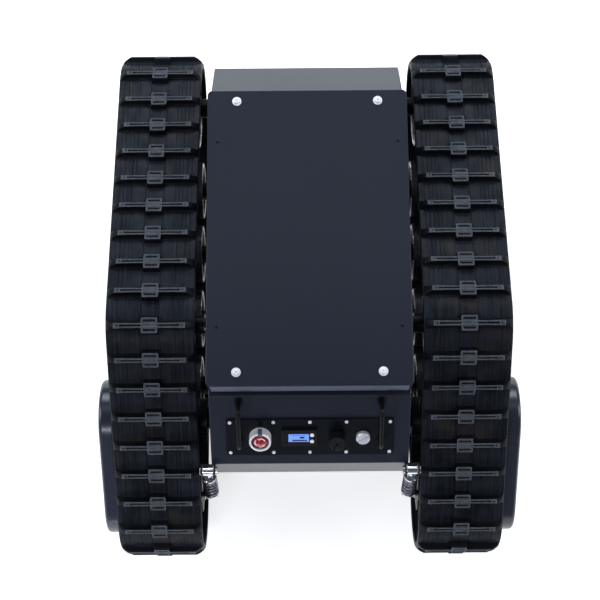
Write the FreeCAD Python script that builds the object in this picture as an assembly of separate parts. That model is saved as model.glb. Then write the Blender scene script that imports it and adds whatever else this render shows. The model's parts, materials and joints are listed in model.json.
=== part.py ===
import FreeCAD
import Part
import math
import os

# Tracked robot chassis.  Millimetres, +Z up, +Y is the front, +X the right-hand side.
# The origin is on the ground under the centre of the bounding box.

V = FreeCAD.Vector

# ---- driving dimensions --------------------------------------------------------------------
HULL_HALF_WIDTH = 173.0
HULL_FLOOR_Z = 139.0
HULL_FOLD_Z = 267.0          # where the upright end walls meet the sloping faces
HULL_DECK_Z = 370.0          # where the sloping faces meet the lid skirt
HULL_REAR_Y = -310.0
HULL_FRONT_Y = 434.0
SHEET = 3.0                  # sheet thickness of the tub
SLOPE_RUN = HULL_DECK_Z - HULL_FOLD_Z    # both end faces lean at 45 degrees
BEND_R = 2.5                 # outside radius of every fold and welded edge
COAMING_LAND = 20.0          # width of the flange under the lid

LID_HALF_WIDTH = 175.0
LID_REAR_Y = -199.0
LID_FRONT_Y = 329.0
LID_TOP_Z = 416.0
LID_SHEET = 2.5
LID_CORNER = 9.0
LID_SCREW_INSET = (51.5, 21.0)
LID_HOLE_HALF = (157.0, 165.0)
LID_HOLE_D = 5.0
LID_SCREW_HOLE_R = 3.2

TRACK_CENTRE_X = 269.0
BELT_WIDTH = 150.0
BELT_THICK = 10.0            # carcass, from the wheel face to the outer face
BELT_NEUTRAL = 5.0           # the cords lie this far from the wheel face
LUG_TIP_HALF = 5.0           # half the width of a tread bar along the belt
LUG_HEIGHT = 12.0            # from the carcass to the tip of a tread bar
SPROCKET_TEETH = 11
FIRST_LUG = 4.0              # how far round the loop the first tread bar sits
BAR_HALF_LENGTH = 61.0       # half the flat top of a tread bar, across the belt
BLOCK_HALF = (13.5, 11.0)    # the wider block in the middle of a tread bar
COG_HALF = (15.0, 7.0)
COG_DEPTH = 9.0
COG_ROOM = 2.0               # play between a belt cog and its pocket in the sprocket

SPROCKET_R = 93.0
SPROCKET_YZ = (-345.0, 115.0)
ROLLER_R = 70.0
ROLLER_YZ = (-76.0, 342.0)
IDLER_R = 75.0
IDLER_NOMINAL_Y = 365.0
IDLER_Z = 232.0
ROAD_R = 56.0
ROAD_Z = ROAD_R + BELT_THICK + LUG_HEIGHT
ROAD_YS = (255.0, 125.0, -5.0, -135.0)
WHEEL_HALF_WIDTH = 65.0
WHEEL_FACE_GAP = 0.3
WHEEL_GROOVE_HALF = 20.0     # room for the drive cogs inside the belt
WHEEL_GROOVE_DEPTH = 19.0
RIM_THICK = 13.0
WEB_STEP = 14.0              # the web is this much deeper than the rim
WEB_HALF = 26.0
HUB_R = 24.0
HUB_SETBACK = 4.0            # the hub ends this far inside the rim's face
AXLE_R = 10.0
DRIVE_AXLE_R = 12.0
RUNNING_GAP = 0.05
FRAME_X = (173.0, 181.0)
FRAME_BOLTS = [(300.0, 170.0), (200.0, 165.0), (70.0, 165.0), (-70.0, 230.0), (-70.0, 180.0),
               (-140.0, 165.0)]
FRAME_BOLT_R = 4.0
FRAME_BOLT_HOLE_R = 4.2
FRAME_BOLT_HEAD_R = 6.5
RAIL_R = 44.0
NOSE_R = 32.0
MAST_R = (62.0, 26.0)

ARM_PIVOT_YZ = (-220.0, 217.0)
PIVOT_NOSE_R = 20.0
ARM_PLATE_X = (197.0, 202.0)
ARM_BACK_X = (346.0, 348.5)
ARM_PLATE_R = 34.0
ARM_TUBE_R = 26.0
CASE_X = (348.5, 372.0)
CASE_R = 70.0
CASE_WALL = 3.0
CHAIN_SPROCKET_R = 30.0
CHAIN_X = (354.0, 361.0)
DRIVE_SHAFT_R = 9.0

SHOCK_X = 179.0
SHOCK_TOP_YZ = (-322.0, 266.0)
SHOCK_FOOT_YZ = (-350.0, 150.0)
SHOCK_COIL_R = 13.5
SHOCK_BOLT_R = 4.0
SHOCK_STUD_R = 5.0
SHOCK_EYE_R = 8.5
SHOCK_EYE_HALF = 8.5

PANEL_HALF = (145.0, 38.0)
PANEL_THICK = 3.0
PANEL_CENTRE = -13.0         # along the slope, from the middle of the sloping face
CONTROL_ROW = -11.0
ESTOP_X = -86.0
METER_X = -18.5
KNOB_X = 46.5
FUSE_X = 91.5
HANDLE_X = 122.0
HANDLE_YS = (-20.0, 61.0)    # lower and upper foot, along the slope
HANDLE_ROD_R = 4.0
HANDLE_TOP = 30.0
HANDLE_BEND_R = 11.0
PANEL_SCREW_INSET = 6.0
PANEL_SCREW_XS = (-138.0, -63.0, 0.0, 63.0, 138.0)
PANEL_SCREW_R = 1.5
ESTOP_BARREL_R = 11.0
FUSE_BARREL_R = 9.0
METER_BODY_HALF = (25.7, 11.7)
METER_BEZEL_HALF = (31.0, 16.5)
METER_TOP = 9.0              # the bezel's face, over the sloping sheet
SCREEN_FACE = 8.4
HOLE_ROOM = 0.3              # how much wider a mounting hole is than what goes through it


# ---- helpers -------------------------------------------------------------------------------
def save(name, shape):
    """Write one piece, moved from the working datum to the frame's origin."""
    placed = shape.copy()
    placed.translate(DATUM_SHIFT)
    placed.exportStep("parts/" + name + ".step")


def disc(y, z, radius, x0, x1):
    """A cylinder whose axis runs along X."""
    return Part.makeCylinder(radius, x1 - x0, V(x0, y, z), V(1, 0, 0))


def prism(points, x0, x1):
    """A side-view polygon of (y, z) points, pushed along X from x0 to x1."""
    wire = Part.makePolygon([V(x0, y, z) for y, z in points + points[:1]])
    return Part.Face(wire).extrude(V(x1 - x0, 0, 0))


def post(x, y, radius, z0, z1):
    return Part.makeCylinder(radius, z1 - z0, V(x, y, z0), V(0, 0, 1))


def block(x0, x1, y0, y1, z0, z1):
    return Part.makeBox(x1 - x0, y1 - y0, z1 - z0, V(x0, y0, z0))


def slab(x, y, half_x, half_y, z0, z1):
    """A block centred on (x, y)."""
    return block(x - half_x, x + half_x, y - half_y, y + half_y, z0, z1)


def round_corners(solid, radius):
    """Round the upright edges of a block."""
    return solid.makeFillet(radius, [e for e in solid.Edges if abs(e.tangentAt(0).z) > 0.9])


def round_top(solid, radius):
    """Round every edge that lies in the top face."""
    top = solid.BoundBox.ZMax - 0.01
    return solid.makeFillet(radius, [e for e in solid.Edges if e.BoundBox.ZMin > top])


def mirrored(shape):
    return shape.mirror(V(0, 0, 0), V(1, 0, 0))


def save_pair(name, right_shape):
    """Everything on the right-hand side has a mirror twin on the left."""
    save(name + "_right", right_shape)
    save(name + "_left", mirrored(right_shape))


def tangent_normal(a, b):
    """Angle of the outward normal of the straight run from circle a to circle b."""
    dy = b[0] - a[0]
    dz = b[1] - a[1]
    heading = math.atan2(dz, dy)
    return heading - math.acos((a[2] - b[2]) / math.hypot(dy, dz))


def on_circle(circle, offset, angle):
    reach = circle[2] + offset
    return (circle[0] + reach * math.cos(angle), circle[1] + reach * math.sin(angle))


def loop_runs(circles):
    """Start and end normal angle of the wrap on each circle of a belt loop."""
    count = len(circles)
    normals = [tangent_normal(circles[i], circles[(i + 1) % count]) for i in range(count)]
    wraps = []
    for i in range(count):
        start = normals[i - 1]
        end = normals[i]
        while end < start:
            end += 2 * math.pi
        wraps.append((start, end))
    return wraps


def loop_wire(circles, offset, x):
    """Closed wire of arcs and straight runs round the circles, grown by offset."""
    wraps = loop_runs(circles)
    edges = []
    for i, circle in enumerate(circles):
        start, end = wraps[i]
        middle = (start + end) / 2
        arc = [V(x, *on_circle(circle, offset, a)) for a in (start, middle, end)]
        edges.append(Part.Arc(*arc).toShape())
        following = circles[(i + 1) % len(circles)]
        run_end = on_circle(following, offset, wraps[(i + 1) % len(circles)][0])
        edges.append(Part.LineSegment(arc[2], V(x, *run_end)).toShape())
    return Part.Wire(edges)


def loop_band(circles, inner, outer, x0, x1):
    """A band round the circles between two offsets, pushed along X."""
    push = V(x1 - x0, 0, 0)
    whole = Part.Face(loop_wire(circles, outer, x0)).extrude(push)
    return whole.cut(Part.Face(loop_wire(circles, inner, x0)).extrude(push))


def link(a, b, x0, x1):
    """A flat plate that wraps two circles (y, z, r), as a tangent outline."""
    return Part.Face(loop_wire([a, b], 0.0, x0)).extrude(V(x1 - x0, 0, 0))


def revolve_x(profile, y, z):
    """Turn a closed (x, radius) outline about the X-wise line through (y, z)."""
    wire = Part.makePolygon([V(x, y, z + r) for x, r in profile + profile[:1]])
    return Part.Face(wire).revolve(V(0, y, z), V(1, 0, 0), 360)


def fuse_all(first, others):
    return first.multiFuse(others).removeSplitter()


# ---- belt geometry -------------------------------------------------------------------------
def belt_circles(idler_y):
    return [
        (ROAD_YS[0], ROAD_Z, ROAD_R),
        (idler_y, IDLER_Z, IDLER_R),
        (ROLLER_YZ[0], ROLLER_YZ[1], ROLLER_R),
        (SPROCKET_YZ[0], SPROCKET_YZ[1], SPROCKET_R),
    ]


def belt_segments(circles):
    """Wraps and straight runs in order, each with its length along the neutral line."""
    wraps = loop_runs(circles)
    segments = []
    for i, circle in enumerate(circles):
        start, end = wraps[i]
        segments.append(("wrap", circle, start, (circle[2] + BELT_NEUTRAL) * (end - start)))
        following = circles[(i + 1) % len(circles)]
        y0, z0 = on_circle(circle, BELT_NEUTRAL, end)
        y1, z1 = on_circle(following, BELT_NEUTRAL, end)
        segments.append(("run", (y0, z0, y1, z1), end, math.hypot(y1 - y0, z1 - z0)))
    return segments


def belt_length(circles):
    return sum(segment[3] for segment in belt_segments(circles))


def belt_place(circles, distance):
    """(y, z, normal angle) of the neutral line at a distance round the loop."""
    for kind, data, angle, length in belt_segments(circles):
        if distance <= length:
            if kind == "wrap":
                turned = angle + distance / (data[2] + BELT_NEUTRAL)
                y, z = on_circle(data, BELT_NEUTRAL, turned)
                return y, z, turned
            share = distance / length
            return (data[0] + (data[2] - data[0]) * share,
                    data[1] + (data[3] - data[1]) * share, angle)
        distance -= length
    return belt_place(circles, distance)


PITCH = 2 * math.pi * (SPROCKET_R + BELT_NEUTRAL) / SPROCKET_TEETH
LUG_COUNT = round(belt_length(belt_circles(IDLER_NOMINAL_Y)) / PITCH)


def tensioned_idler_y():
    """The idler slides along Y until the belt holds a whole number of pitches."""
    low = IDLER_NOMINAL_Y - 40
    high = IDLER_NOMINAL_Y + 40
    for _ in range(40):
        middle = (low + high) / 2
        if belt_length(belt_circles(middle)) < LUG_COUNT * PITCH:
            low = middle
        else:
            high = middle
    return (low + high) / 2


IDLER_Y = tensioned_idler_y()
CIRCLES = belt_circles(IDLER_Y)


def lug_distance(number):
    return (FIRST_LUG + number * PITCH) % (LUG_COUNT * PITCH)


def stand_on_belt(shape, distance):
    """Carry a shape built on the XY plane (Z outward) to a place on the belt."""
    y, z, angle = belt_place(CIRCLES, distance)
    moved = shape.copy()
    moved.rotate(V(0, 0, 0), V(1, 0, 0), math.degrees(angle) - 90)
    moved.translate(V(TRACK_CENTRE_X, y, z))
    return moved


def tread_bar():
    """One tread bar: a low transverse bar with sloping ends and a wider middle block."""
    root = BELT_THICK - BELT_NEUTRAL - 1.0
    tip = BELT_THICK - BELT_NEUTRAL + LUG_HEIGHT
    foot = BELT_WIDTH / 2 - 2.0
    outline = [(-foot, root), (foot, root), (foot, root + 3.0), (BAR_HALF_LENGTH, tip),
               (-BAR_HALF_LENGTH, tip), (-foot, root + 3.0)]
    wire = Part.makePolygon([V(x, -LUG_TIP_HALF, z) for x, z in outline + outline[:1]])
    bar = Part.Face(wire).extrude(V(0, 2 * LUG_TIP_HALF, 0))
    middle = slab(0.0, 0.0, BLOCK_HALF[0], BLOCK_HALF[1], root, tip - 1.0)
    return bar.fuse(middle)


def drive_cog():
    """The block inside the belt that the drive sprocket pushes on."""
    face = -BELT_NEUTRAL
    return slab(0.0, 0.0, COG_HALF[0], COG_HALF[1], face - COG_DEPTH, face + 1.0)


def track_belt():
    x0 = TRACK_CENTRE_X - BELT_WIDTH / 2
    x1 = TRACK_CENTRE_X + BELT_WIDTH / 2
    carcass = loop_band(CIRCLES, 0.0, BELT_THICK, x0, x1)
    pieces = []
    for number in range(LUG_COUNT):
        pieces.append(stand_on_belt(tread_bar(), lug_distance(number)))
        pieces.append(stand_on_belt(drive_cog(), lug_distance(number)))
    return carcass.multiFuse(pieces)


def datum_shift(belt):
    """The belts are the longest and lowest pieces, so they set the origin of the frame."""
    ys = [vertex.Y for vertex in belt.Vertexes]
    low = min(vertex.Z for vertex in belt.Vertexes)
    return V(0, -(min(ys) + max(ys)) / 2, -low)


BELT = track_belt()
DATUM_SHIFT = datum_shift(BELT)


# ---- wheels --------------------------------------------------------------------------------
def lightening_holes(y, z, ring_radius, hole_radius, count):
    x0 = TRACK_CENTRE_X - WHEEL_HALF_WIDTH - 1
    x1 = TRACK_CENTRE_X + WHEEL_HALF_WIDTH + 1
    holes = []
    for number in range(count):
        angle = 2 * math.pi * number / count
        hole_y = y + ring_radius * math.cos(angle)
        hole_z = z + ring_radius * math.sin(angle)
        holes.append(disc(hole_y, hole_z, hole_radius, x0, x1))
    return holes


def wheel_blank(y, z, radius, bore):
    """Rim, groove, web and hub of one wheel, turned about its axle line."""
    half = WHEEL_HALF_WIDTH
    rim = radius - WHEEL_FACE_GAP
    rim_inside = radius - RIM_THICK
    web = rim_inside - WEB_STEP
    groove = radius - WHEEL_GROOVE_DEPTH
    hub_half = half - HUB_SETBACK
    right = [(WHEEL_GROOVE_HALF, groove), (WHEEL_GROOVE_HALF, rim), (half, rim),
             (half, rim_inside), (WEB_HALF, web), (WEB_HALF, HUB_R), (hub_half, HUB_R),
             (hub_half, bore)]
    left = [(-x, reach) for x, reach in reversed(right)]
    return revolve_x([(TRACK_CENTRE_X + x, reach) for x, reach in right + left], y, z)


def track_wheel(y, z, radius, hole_count):
    """A running wheel; only the wheels with a wide enough web get lightening holes."""
    web = radius - RIM_THICK - WEB_STEP
    hole_radius = (web - HUB_R) / 2 - 1.0
    blank = wheel_blank(y, z, radius, AXLE_R + RUNNING_GAP)
    if hole_radius < 3.0:
        return blank
    return blank.cut(lightening_holes(y, z, (web + HUB_R) / 2, hole_radius, hole_count))


def drive_sprocket():
    """The rear wheel: two rims and a toothed ring whose pockets take the belt cogs."""
    y, z = SPROCKET_YZ
    x0 = TRACK_CENTRE_X - COG_HALF[0] - 1.0
    x1 = TRACK_CENTRE_X + COG_HALF[0] + 1.0
    ring = disc(y, z, SPROCKET_R - 1.5, x0, x1)
    ring = ring.cut(disc(y, z, SPROCKET_R - WHEEL_GROOVE_DEPTH - 2.0, x0 - 1, x1 + 1))
    blank = wheel_blank(y, z, SPROCKET_R, DRIVE_AXLE_R).fuse(ring)
    pocket = slab(0.0, 0.0, COG_HALF[0] + COG_ROOM, COG_HALF[1] + COG_ROOM,
                  -BELT_NEUTRAL - COG_DEPTH - COG_ROOM, 0.0)
    engaged = next(n for n in range(LUG_COUNT) if on_sprocket(lug_distance(n)))
    first = stand_on_belt(pocket, lug_distance(engaged))
    cuts = lightening_holes(y, z, 46.0, 13.0, 6)
    for number in range(SPROCKET_TEETH):
        turned = first.copy()
        turned.rotate(V(0, y, z), V(1, 0, 0), number * 360.0 / SPROCKET_TEETH)
        cuts.append(turned)
    return blank.cut(cuts)


def on_sprocket(distance):
    """True where the belt cog at this distance lies on the drive sprocket."""
    y, z, _ = belt_place(CIRCLES, distance)
    reach = math.hypot(y - SPROCKET_YZ[0], z - SPROCKET_YZ[1])
    return abs(reach - SPROCKET_R - BELT_NEUTRAL) < 0.01


def wheel_axle(y, z):
    """Stub axle with a shoulder at the frame and a cap nut outside the wheel."""
    hub_inner = TRACK_CENTRE_X - WHEEL_HALF_WIDTH + HUB_SETBACK
    hub_outer = TRACK_CENTRE_X + WHEEL_HALF_WIDTH - HUB_SETBACK
    end_gap = 0.5
    shaft = disc(y, z, AXLE_R, FRAME_X[1], hub_outer + 1.0)
    shoulder = disc(y, z, AXLE_R + 7.0, FRAME_X[1], hub_inner - end_gap)
    cap = disc(y, z, AXLE_R + 9.0, hub_outer + end_gap, hub_outer + 7.0)
    return fuse_all(shaft, [shoulder, cap])


# ---- hull ----------------------------------------------------------------------------------
def hull_outline(inset):
    rear = HULL_REAR_Y + inset
    front = HULL_FRONT_Y - inset
    shift = inset * (math.sqrt(2) - 1)
    return [(rear, HULL_FLOOR_Z + inset), (front, HULL_FLOOR_Z + inset),
            (front, HULL_FOLD_Z - shift), (front - SLOPE_RUN, HULL_DECK_Z - shift),
            (rear + SLOPE_RUN, HULL_DECK_Z - shift), (rear, HULL_FOLD_Z - shift)]


def coaming():
    """Upstand round the deck opening, with a flange that the lid lies on."""
    gap = LID_SHEET + 1.0
    half = LID_HALF_WIDTH - gap
    y0 = LID_REAR_Y + gap
    y1 = LID_FRONT_Y - gap
    top = LID_TOP_Z - LID_SHEET
    low = HULL_DECK_Z - 3 * SHEET
    outer = block(-half, half, y0, y1, HULL_DECK_Z - SHEET, top)
    outer = round_corners(outer, LID_CORNER - gap + 1.0)
    mouth = block(-half + COAMING_LAND, half - COAMING_LAND, y0 + COAMING_LAND,
                  y1 - COAMING_LAND, low, top + 1)
    under_flange = block(-half + SHEET, half - SHEET, y0 + SHEET, y1 - SHEET, low, top - SHEET)
    return outer, [mouth, under_flange]


def tub_drills():
    """Holes for the lid screws, motor noses, panel and track frame bolts."""
    half = HULL_HALF_WIDTH
    top = LID_TOP_Z - LID_SHEET
    y, z = ARM_PIVOT_YZ
    drills = [post(px, py, LID_SCREW_HOLE_R, top - SHEET - 1, top + 1)
              for px, py in lid_screw_places()]
    drills += [disc(y, z, PIVOT_NOSE_R + 0.3, x, x + SHEET + 2)
               for x in (-half - 1, half - SHEET - 1)]
    drills += [on_slope(hole) for hole in panel_drills(-SHEET - 2.0, 1.0)]
    return drills + frame_bolt_shapes(FRAME_BOLT_HOLE_R, 0.0)


def chassis_tub():
    """Folded sheet tub, open at the top, with a coaming that the lid skirt fits over."""
    half = HULL_HALF_WIDTH
    body = prism(hull_outline(0.0), -half, half)
    body = body.makeFillet(BEND_R, body.Edges)
    inside = prism(hull_outline(SHEET), -half + SHEET, half - SHEET)
    upstand, openings = coaming()
    shell = body.fuse(upstand).cut([inside] + openings)
    shell = shell.cut(tub_drills())
    right = [shock_ear(SHOCK_X - EAR_SPREAD), shock_ear(SHOCK_X + EAR_SPREAD),
             shock_bracket_plate()]
    return fuse_all(shell, right + [mirrored(piece) for piece in right])


EAR_SPREAD = 11.5            # from the middle of the shock to each ear
EAR_THICK = 3.0


def shock_ear(x):
    """Ear welded to the bracket plate; the upper bolt of the shock passes through it."""
    y, z = SHOCK_TOP_YZ
    root_y = HULL_REAR_Y - 2.0
    x0 = x - EAR_THICK / 2
    x1 = x + EAR_THICK / 2
    tab = prism([(root_y, z - 14.0), (y, z - 8.0), (y, z + 8.0), (root_y, z + 2.0)], x0, x1)
    eye = disc(y, z, SHOCK_EYE_R, x0, x1)
    return tab.fuse(eye).cut(disc(y, z, SHOCK_BOLT_R, x0 - 1, x1 + 1))


def shock_bracket_plate():
    """Plate welded to the rear wall that reaches out past the side of the tub."""
    z = SHOCK_TOP_YZ[1]
    reach = EAR_SPREAD + EAR_THICK / 2
    return block(SHOCK_X - reach, SHOCK_X + reach, HULL_REAR_Y - SHEET, HULL_REAR_Y,
                 z - 15.0, z + 1.0)


def lid_screw_places():
    x = LID_HALF_WIDTH - LID_SCREW_INSET[0]
    rear = LID_REAR_Y + LID_SCREW_INSET[1] + 3
    front = LID_FRONT_Y - LID_SCREW_INSET[1]
    return [(-x, rear), (x, rear), (-x, front), (x, front)]


def top_lid():
    """Shallow tray turned over the coaming, with rounded corners and edges."""
    x = LID_HALF_WIDTH
    skirt_z = HULL_DECK_Z + 1.0
    outer = block(-x, x, LID_REAR_Y, LID_FRONT_Y, skirt_z, LID_TOP_Z)
    outer = round_top(round_corners(outer, LID_CORNER), 2.0)
    inner = block(-x + LID_SHEET, x - LID_SHEET, LID_REAR_Y + LID_SHEET,
                  LID_FRONT_Y - LID_SHEET, skirt_z - 1, LID_TOP_Z - LID_SHEET)
    inner = round_corners(inner, LID_CORNER - LID_SHEET)
    z0 = LID_TOP_Z - LID_SHEET - 1
    drills = [post(px, py, LID_SCREW_HOLE_R, z0, LID_TOP_Z + 1) for px, py in lid_screw_places()]
    drills += [post(px, py, LID_HOLE_D / 2, z0, LID_TOP_Z + 1) for px, py in lid_hole_places()]
    return outer.cut([inner] + drills)


def lid_hole_places():
    x, half_y = LID_HOLE_HALF
    middle = (LID_REAR_Y + LID_FRONT_Y) / 2 + 2.0
    return [(sx * x, middle + sy * half_y) for sx in (-1, 1) for sy in (-1, 1)]


def lid_screws():
    """Four M6 button-head screws, each on a wide washer."""
    screws = []
    washer_top = LID_TOP_Z + 1.4
    head_top = washer_top + 3.2
    for x, y in lid_screw_places():
        shank = post(x, y, 3.0, LID_TOP_Z - 16, LID_TOP_Z + 1)
        washer = post(x, y, 8.0, LID_TOP_Z, washer_top)
        head = round_top(post(x, y, 5.2, washer_top, head_top), 1.6)
        socket = post(x, y, 2.0, head_top - 2.0, head_top + 1.0)
        screws.append(fuse_all(shank, [washer, head]).cut(socket))
    return Part.makeCompound(screws)


# ---- control panel, built flat and then laid on the rear sloping face ----------------------
def on_slope(shape):
    """Lay a shape on the rear face: X stays, Y runs up the slope, Z points outwards."""
    moved = shape.copy()
    moved.rotate(V(0, 0, 0), V(1, 0, 0), 45)
    moved.translate(V(0, HULL_REAR_Y + SLOPE_RUN / 2, HULL_FOLD_Z + SLOPE_RUN / 2))
    return moved


def panel_screw_places():
    reach = PANEL_HALF[1] - PANEL_SCREW_INSET
    rows = (PANEL_CENTRE - reach, PANEL_CENTRE + reach)
    return [(x, y) for y in rows for x in PANEL_SCREW_XS]


def panel_drills(z0, z1):
    """Holes that go through both the panel plate and the sloping sheet behind it."""
    drills = [post(ESTOP_X, CONTROL_ROW, ESTOP_BARREL_R + HOLE_ROOM, z0, z1)]
    drills.append(post(KNOB_X, CONTROL_ROW, KNOB_BUSH_R + HOLE_ROOM, z0, z1))
    drills.append(post(FUSE_X, CONTROL_ROW, FUSE_BARREL_R + HOLE_ROOM, z0, z1))
    drills.append(slab(METER_X, CONTROL_ROW, METER_BODY_HALF[0] + HOLE_ROOM,
                       METER_BODY_HALF[1] + HOLE_ROOM, z0, z1))
    drills += [post(x, y, PANEL_SCREW_R + 0.2, z0, z1) for x, y in panel_screw_places()]
    return drills


def control_panel():
    plate = slab(0.0, PANEL_CENTRE, PANEL_HALF[0], PANEL_HALF[1], 0.0, PANEL_THICK)
    plate = round_corners(plate, 4.0)
    return plate.cut(panel_drills(-1.0, PANEL_THICK + 1.0))


def control_panel_screws():
    screws = []
    for x, y in panel_screw_places():
        head = round_top(post(x, y, 2 * PANEL_SCREW_R, PANEL_THICK, PANEL_THICK + 2.0), 0.9)
        socket = post(x, y, 1.1, PANEL_THICK + 1.0, PANEL_THICK + 3.0)
        screws.append(head.fuse(post(x, y, PANEL_SCREW_R, -6.0, PANEL_THICK)).cut(socket))
    return Part.makeCompound(screws)


def pull_handle(x):
    """Bent round bar with a foot at each end; the lower foot stands on the panel."""
    low, high = HANDLE_YS
    top = HANDLE_TOP
    bend = HANDLE_BEND_R
    knee = bend * (1 - math.sqrt(0.5))
    points = [V(x, low, PANEL_THICK), V(x, low, top - bend), V(x, low + knee, top - knee),
              V(x, low + bend, top), V(x, high - bend, top), V(x, high - knee, top - knee),
              V(x, high, top - bend), V(x, high, 0.0)]
    path = Part.Wire([Part.LineSegment(points[0], points[1]).toShape(),
                      Part.Arc(points[1], points[2], points[3]).toShape(),
                      Part.LineSegment(points[3], points[4]).toShape(),
                      Part.Arc(points[4], points[5], points[6]).toShape(),
                      Part.LineSegment(points[6], points[7]).toShape()])
    ring = Part.Wire([Part.makeCircle(HANDLE_ROD_R, points[0], V(0, 0, 1))])
    bar = path.makePipeShell([ring], True, False)
    foot_r = HANDLE_ROD_R + 3.0
    feet = [post(x, low, foot_r, PANEL_THICK, PANEL_THICK + 3.0), post(x, high, foot_r, 0.0, 3.0)]
    return bar.multiFuse(feet)


def panel_handles():
    return Part.makeCompound([on_slope(pull_handle(side * HANDLE_X)) for side in (-1, 1)])


GUARD_R = (15.5, 19.0)
GUARD_TOP = 21.0
GUARD_CUT_FLOOR = 15.0
PLUNGER_R = 5.0
SPIGOT_R = 3.5               # the thinner end of the plunger that the button twists on
BUTTON_R = 12.0
BUTTON_FOOT = 14.3
BUTTON_TOP = 26.0


def estop_guard():
    """Ring guard round the stop button: one wide notch up the slope and a slit each side."""
    ring = round_top(post(ESTOP_X, CONTROL_ROW, GUARD_R[1], PANEL_THICK, GUARD_TOP), 1.0)
    ring = ring.cut(post(ESTOP_X, CONTROL_ROW, GUARD_R[0], PANEL_THICK - 1, GUARD_TOP + 1))
    reach = GUARD_R[1] + 1.0
    notch = block(ESTOP_X - 3.5, ESTOP_X + 3.5, CONTROL_ROW, CONTROL_ROW + reach,
                  GUARD_CUT_FLOOR, GUARD_TOP + 1)
    slit = slab(ESTOP_X, CONTROL_ROW - 4.3, reach, 0.7, GUARD_CUT_FLOOR, GUARD_TOP + 1)
    return ring.cut([notch, slit])


def estop_base():
    """Contact block, threaded barrel and collar that hold the stop button."""
    collar_top = PANEL_THICK + 4.0
    barrel = post(ESTOP_X, CONTROL_ROW, ESTOP_BARREL_R, -30.0, collar_top)
    collar = post(ESTOP_X, CONTROL_ROW, GUARD_R[0] - 1.0, PANEL_THICK, collar_top)
    nut = post(ESTOP_X, CONTROL_ROW, ESTOP_BARREL_R + 4.0, -SHEET - 5.0, -SHEET)
    contacts = slab(ESTOP_X, CONTROL_ROW, 14.0, 14.0, -50.0, -30.0)
    bore = post(ESTOP_X, CONTROL_ROW, PLUNGER_R + RUNNING_GAP, -28.0, collar_top + 1)
    return fuse_all(barrel, [collar, nut, contacts]).cut(bore)


def estop_plunger():
    shoulder = BUTTON_FOOT - 0.3
    stem = post(ESTOP_X, CONTROL_ROW, PLUNGER_R, -20.0, shoulder)
    return stem.fuse(post(ESTOP_X, CONTROL_ROW, SPIGOT_R, shoulder, shoulder + 7.0))


def estop_button():
    """Mushroom head that pushes down and twists on the plunger's spigot."""
    cap = round_top(post(ESTOP_X, CONTROL_ROW, BUTTON_R, BUTTON_FOOT, BUTTON_TOP), 4.0)
    return cap.cut(post(ESTOP_X, CONTROL_ROW, SPIGOT_R + RUNNING_GAP, BUTTON_FOOT - 1,
                        BUTTON_FOOT + 7.0))


METER_BUTTON_OFFSETS = {"upper": 6.6, "lower": -6.6}
METER_BUTTON_X = METER_X + 22.0
METER_BUTTON_R = 3.5
SCREEN_X = METER_X - 1.0
SCREEN_HALF = (17.8, 8.5)
SCREEN_BACK = 7.0


def battery_meter_case():
    """Bezel with a window and two button wells, and the body behind it."""
    bezel = slab(METER_X, CONTROL_ROW, METER_BEZEL_HALF[0], METER_BEZEL_HALF[1],
                 PANEL_THICK, METER_TOP)
    bezel = round_top(round_corners(bezel, 2.0), 1.0)
    body = slab(METER_X, CONTROL_ROW, METER_BODY_HALF[0], METER_BODY_HALF[1], -16.0,
                PANEL_THICK)
    window = slab(SCREEN_X, CONTROL_ROW, SCREEN_HALF[0] + 0.2, SCREEN_HALF[1] + 0.2,
                  SCREEN_BACK, METER_TOP + 1.0)
    wells = [post(METER_BUTTON_X, CONTROL_ROW + dy, METER_BUTTON_R + RUNNING_GAP,
                  PANEL_THICK + 2.0, METER_TOP + 1.0) for dy in METER_BUTTON_OFFSETS.values()]
    return bezel.fuse(body).removeSplitter().cut([window] + wells)


def battery_meter_screen():
    return slab(SCREEN_X, CONTROL_ROW, SCREEN_HALF[0], SCREEN_HALF[1], SCREEN_BACK, SCREEN_FACE)


def meter_button(dy):
    button = post(METER_BUTTON_X, CONTROL_ROW + dy, METER_BUTTON_R, 5.9, METER_TOP + 1.4)
    return round_top(button, 0.6)


KNOB_BUSH_R = 5.0
KNOB_SPINDLE_R = 3.0
KNOB_R = 14.0
KNOB_FOOT = 8.5
KNOB_TOP = 27.0              # height of the knob's face over the sloping sheet
POINTER_DEG = 62.0           # the pointer at rest, from straight left towards down the slope


def knob_bush():
    """Rotary switch body behind the sheet, with its threaded bush and nut."""
    bush_top = KNOB_FOOT - 0.5
    bush = post(KNOB_X, CONTROL_ROW, KNOB_BUSH_R, -SHEET, bush_top)
    nut = post(KNOB_X, CONTROL_ROW, KNOB_BUSH_R + 3.0, PANEL_THICK, PANEL_THICK + 3.0)
    body = slab(KNOB_X, CONTROL_ROW, 13.0, 13.0, -28.0, -SHEET)
    bore = post(KNOB_X, CONTROL_ROW, KNOB_SPINDLE_R + RUNNING_GAP, -16.0, bush_top + 1.0)
    return fuse_all(bush, [nut, body]).cut(bore)


def power_knob():
    """Round knob with a pointer groove cut across its face, one piece with its spindle."""
    skirt = round_top(post(KNOB_X, CONTROL_ROW, KNOB_R, KNOB_FOOT, KNOB_TOP), 1.2)
    spindle = post(KNOB_X, CONTROL_ROW, KNOB_SPINDLE_R, -14.0, KNOB_FOOT + 0.5)
    recess = post(KNOB_X, CONTROL_ROW, 2.6, KNOB_TOP - 2.0, KNOB_TOP + 1.0)
    groove = block(KNOB_X - KNOB_R - 1.0, KNOB_X, CONTROL_ROW - 0.9, CONTROL_ROW + 0.9,
                   KNOB_TOP - 1.5, KNOB_TOP + 1.0)
    groove.rotate(V(KNOB_X, CONTROL_ROW, 0), V(0, 0, 1), POINTER_DEG)
    return skirt.fuse(spindle).removeSplitter().cut([recess, groove])


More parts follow.
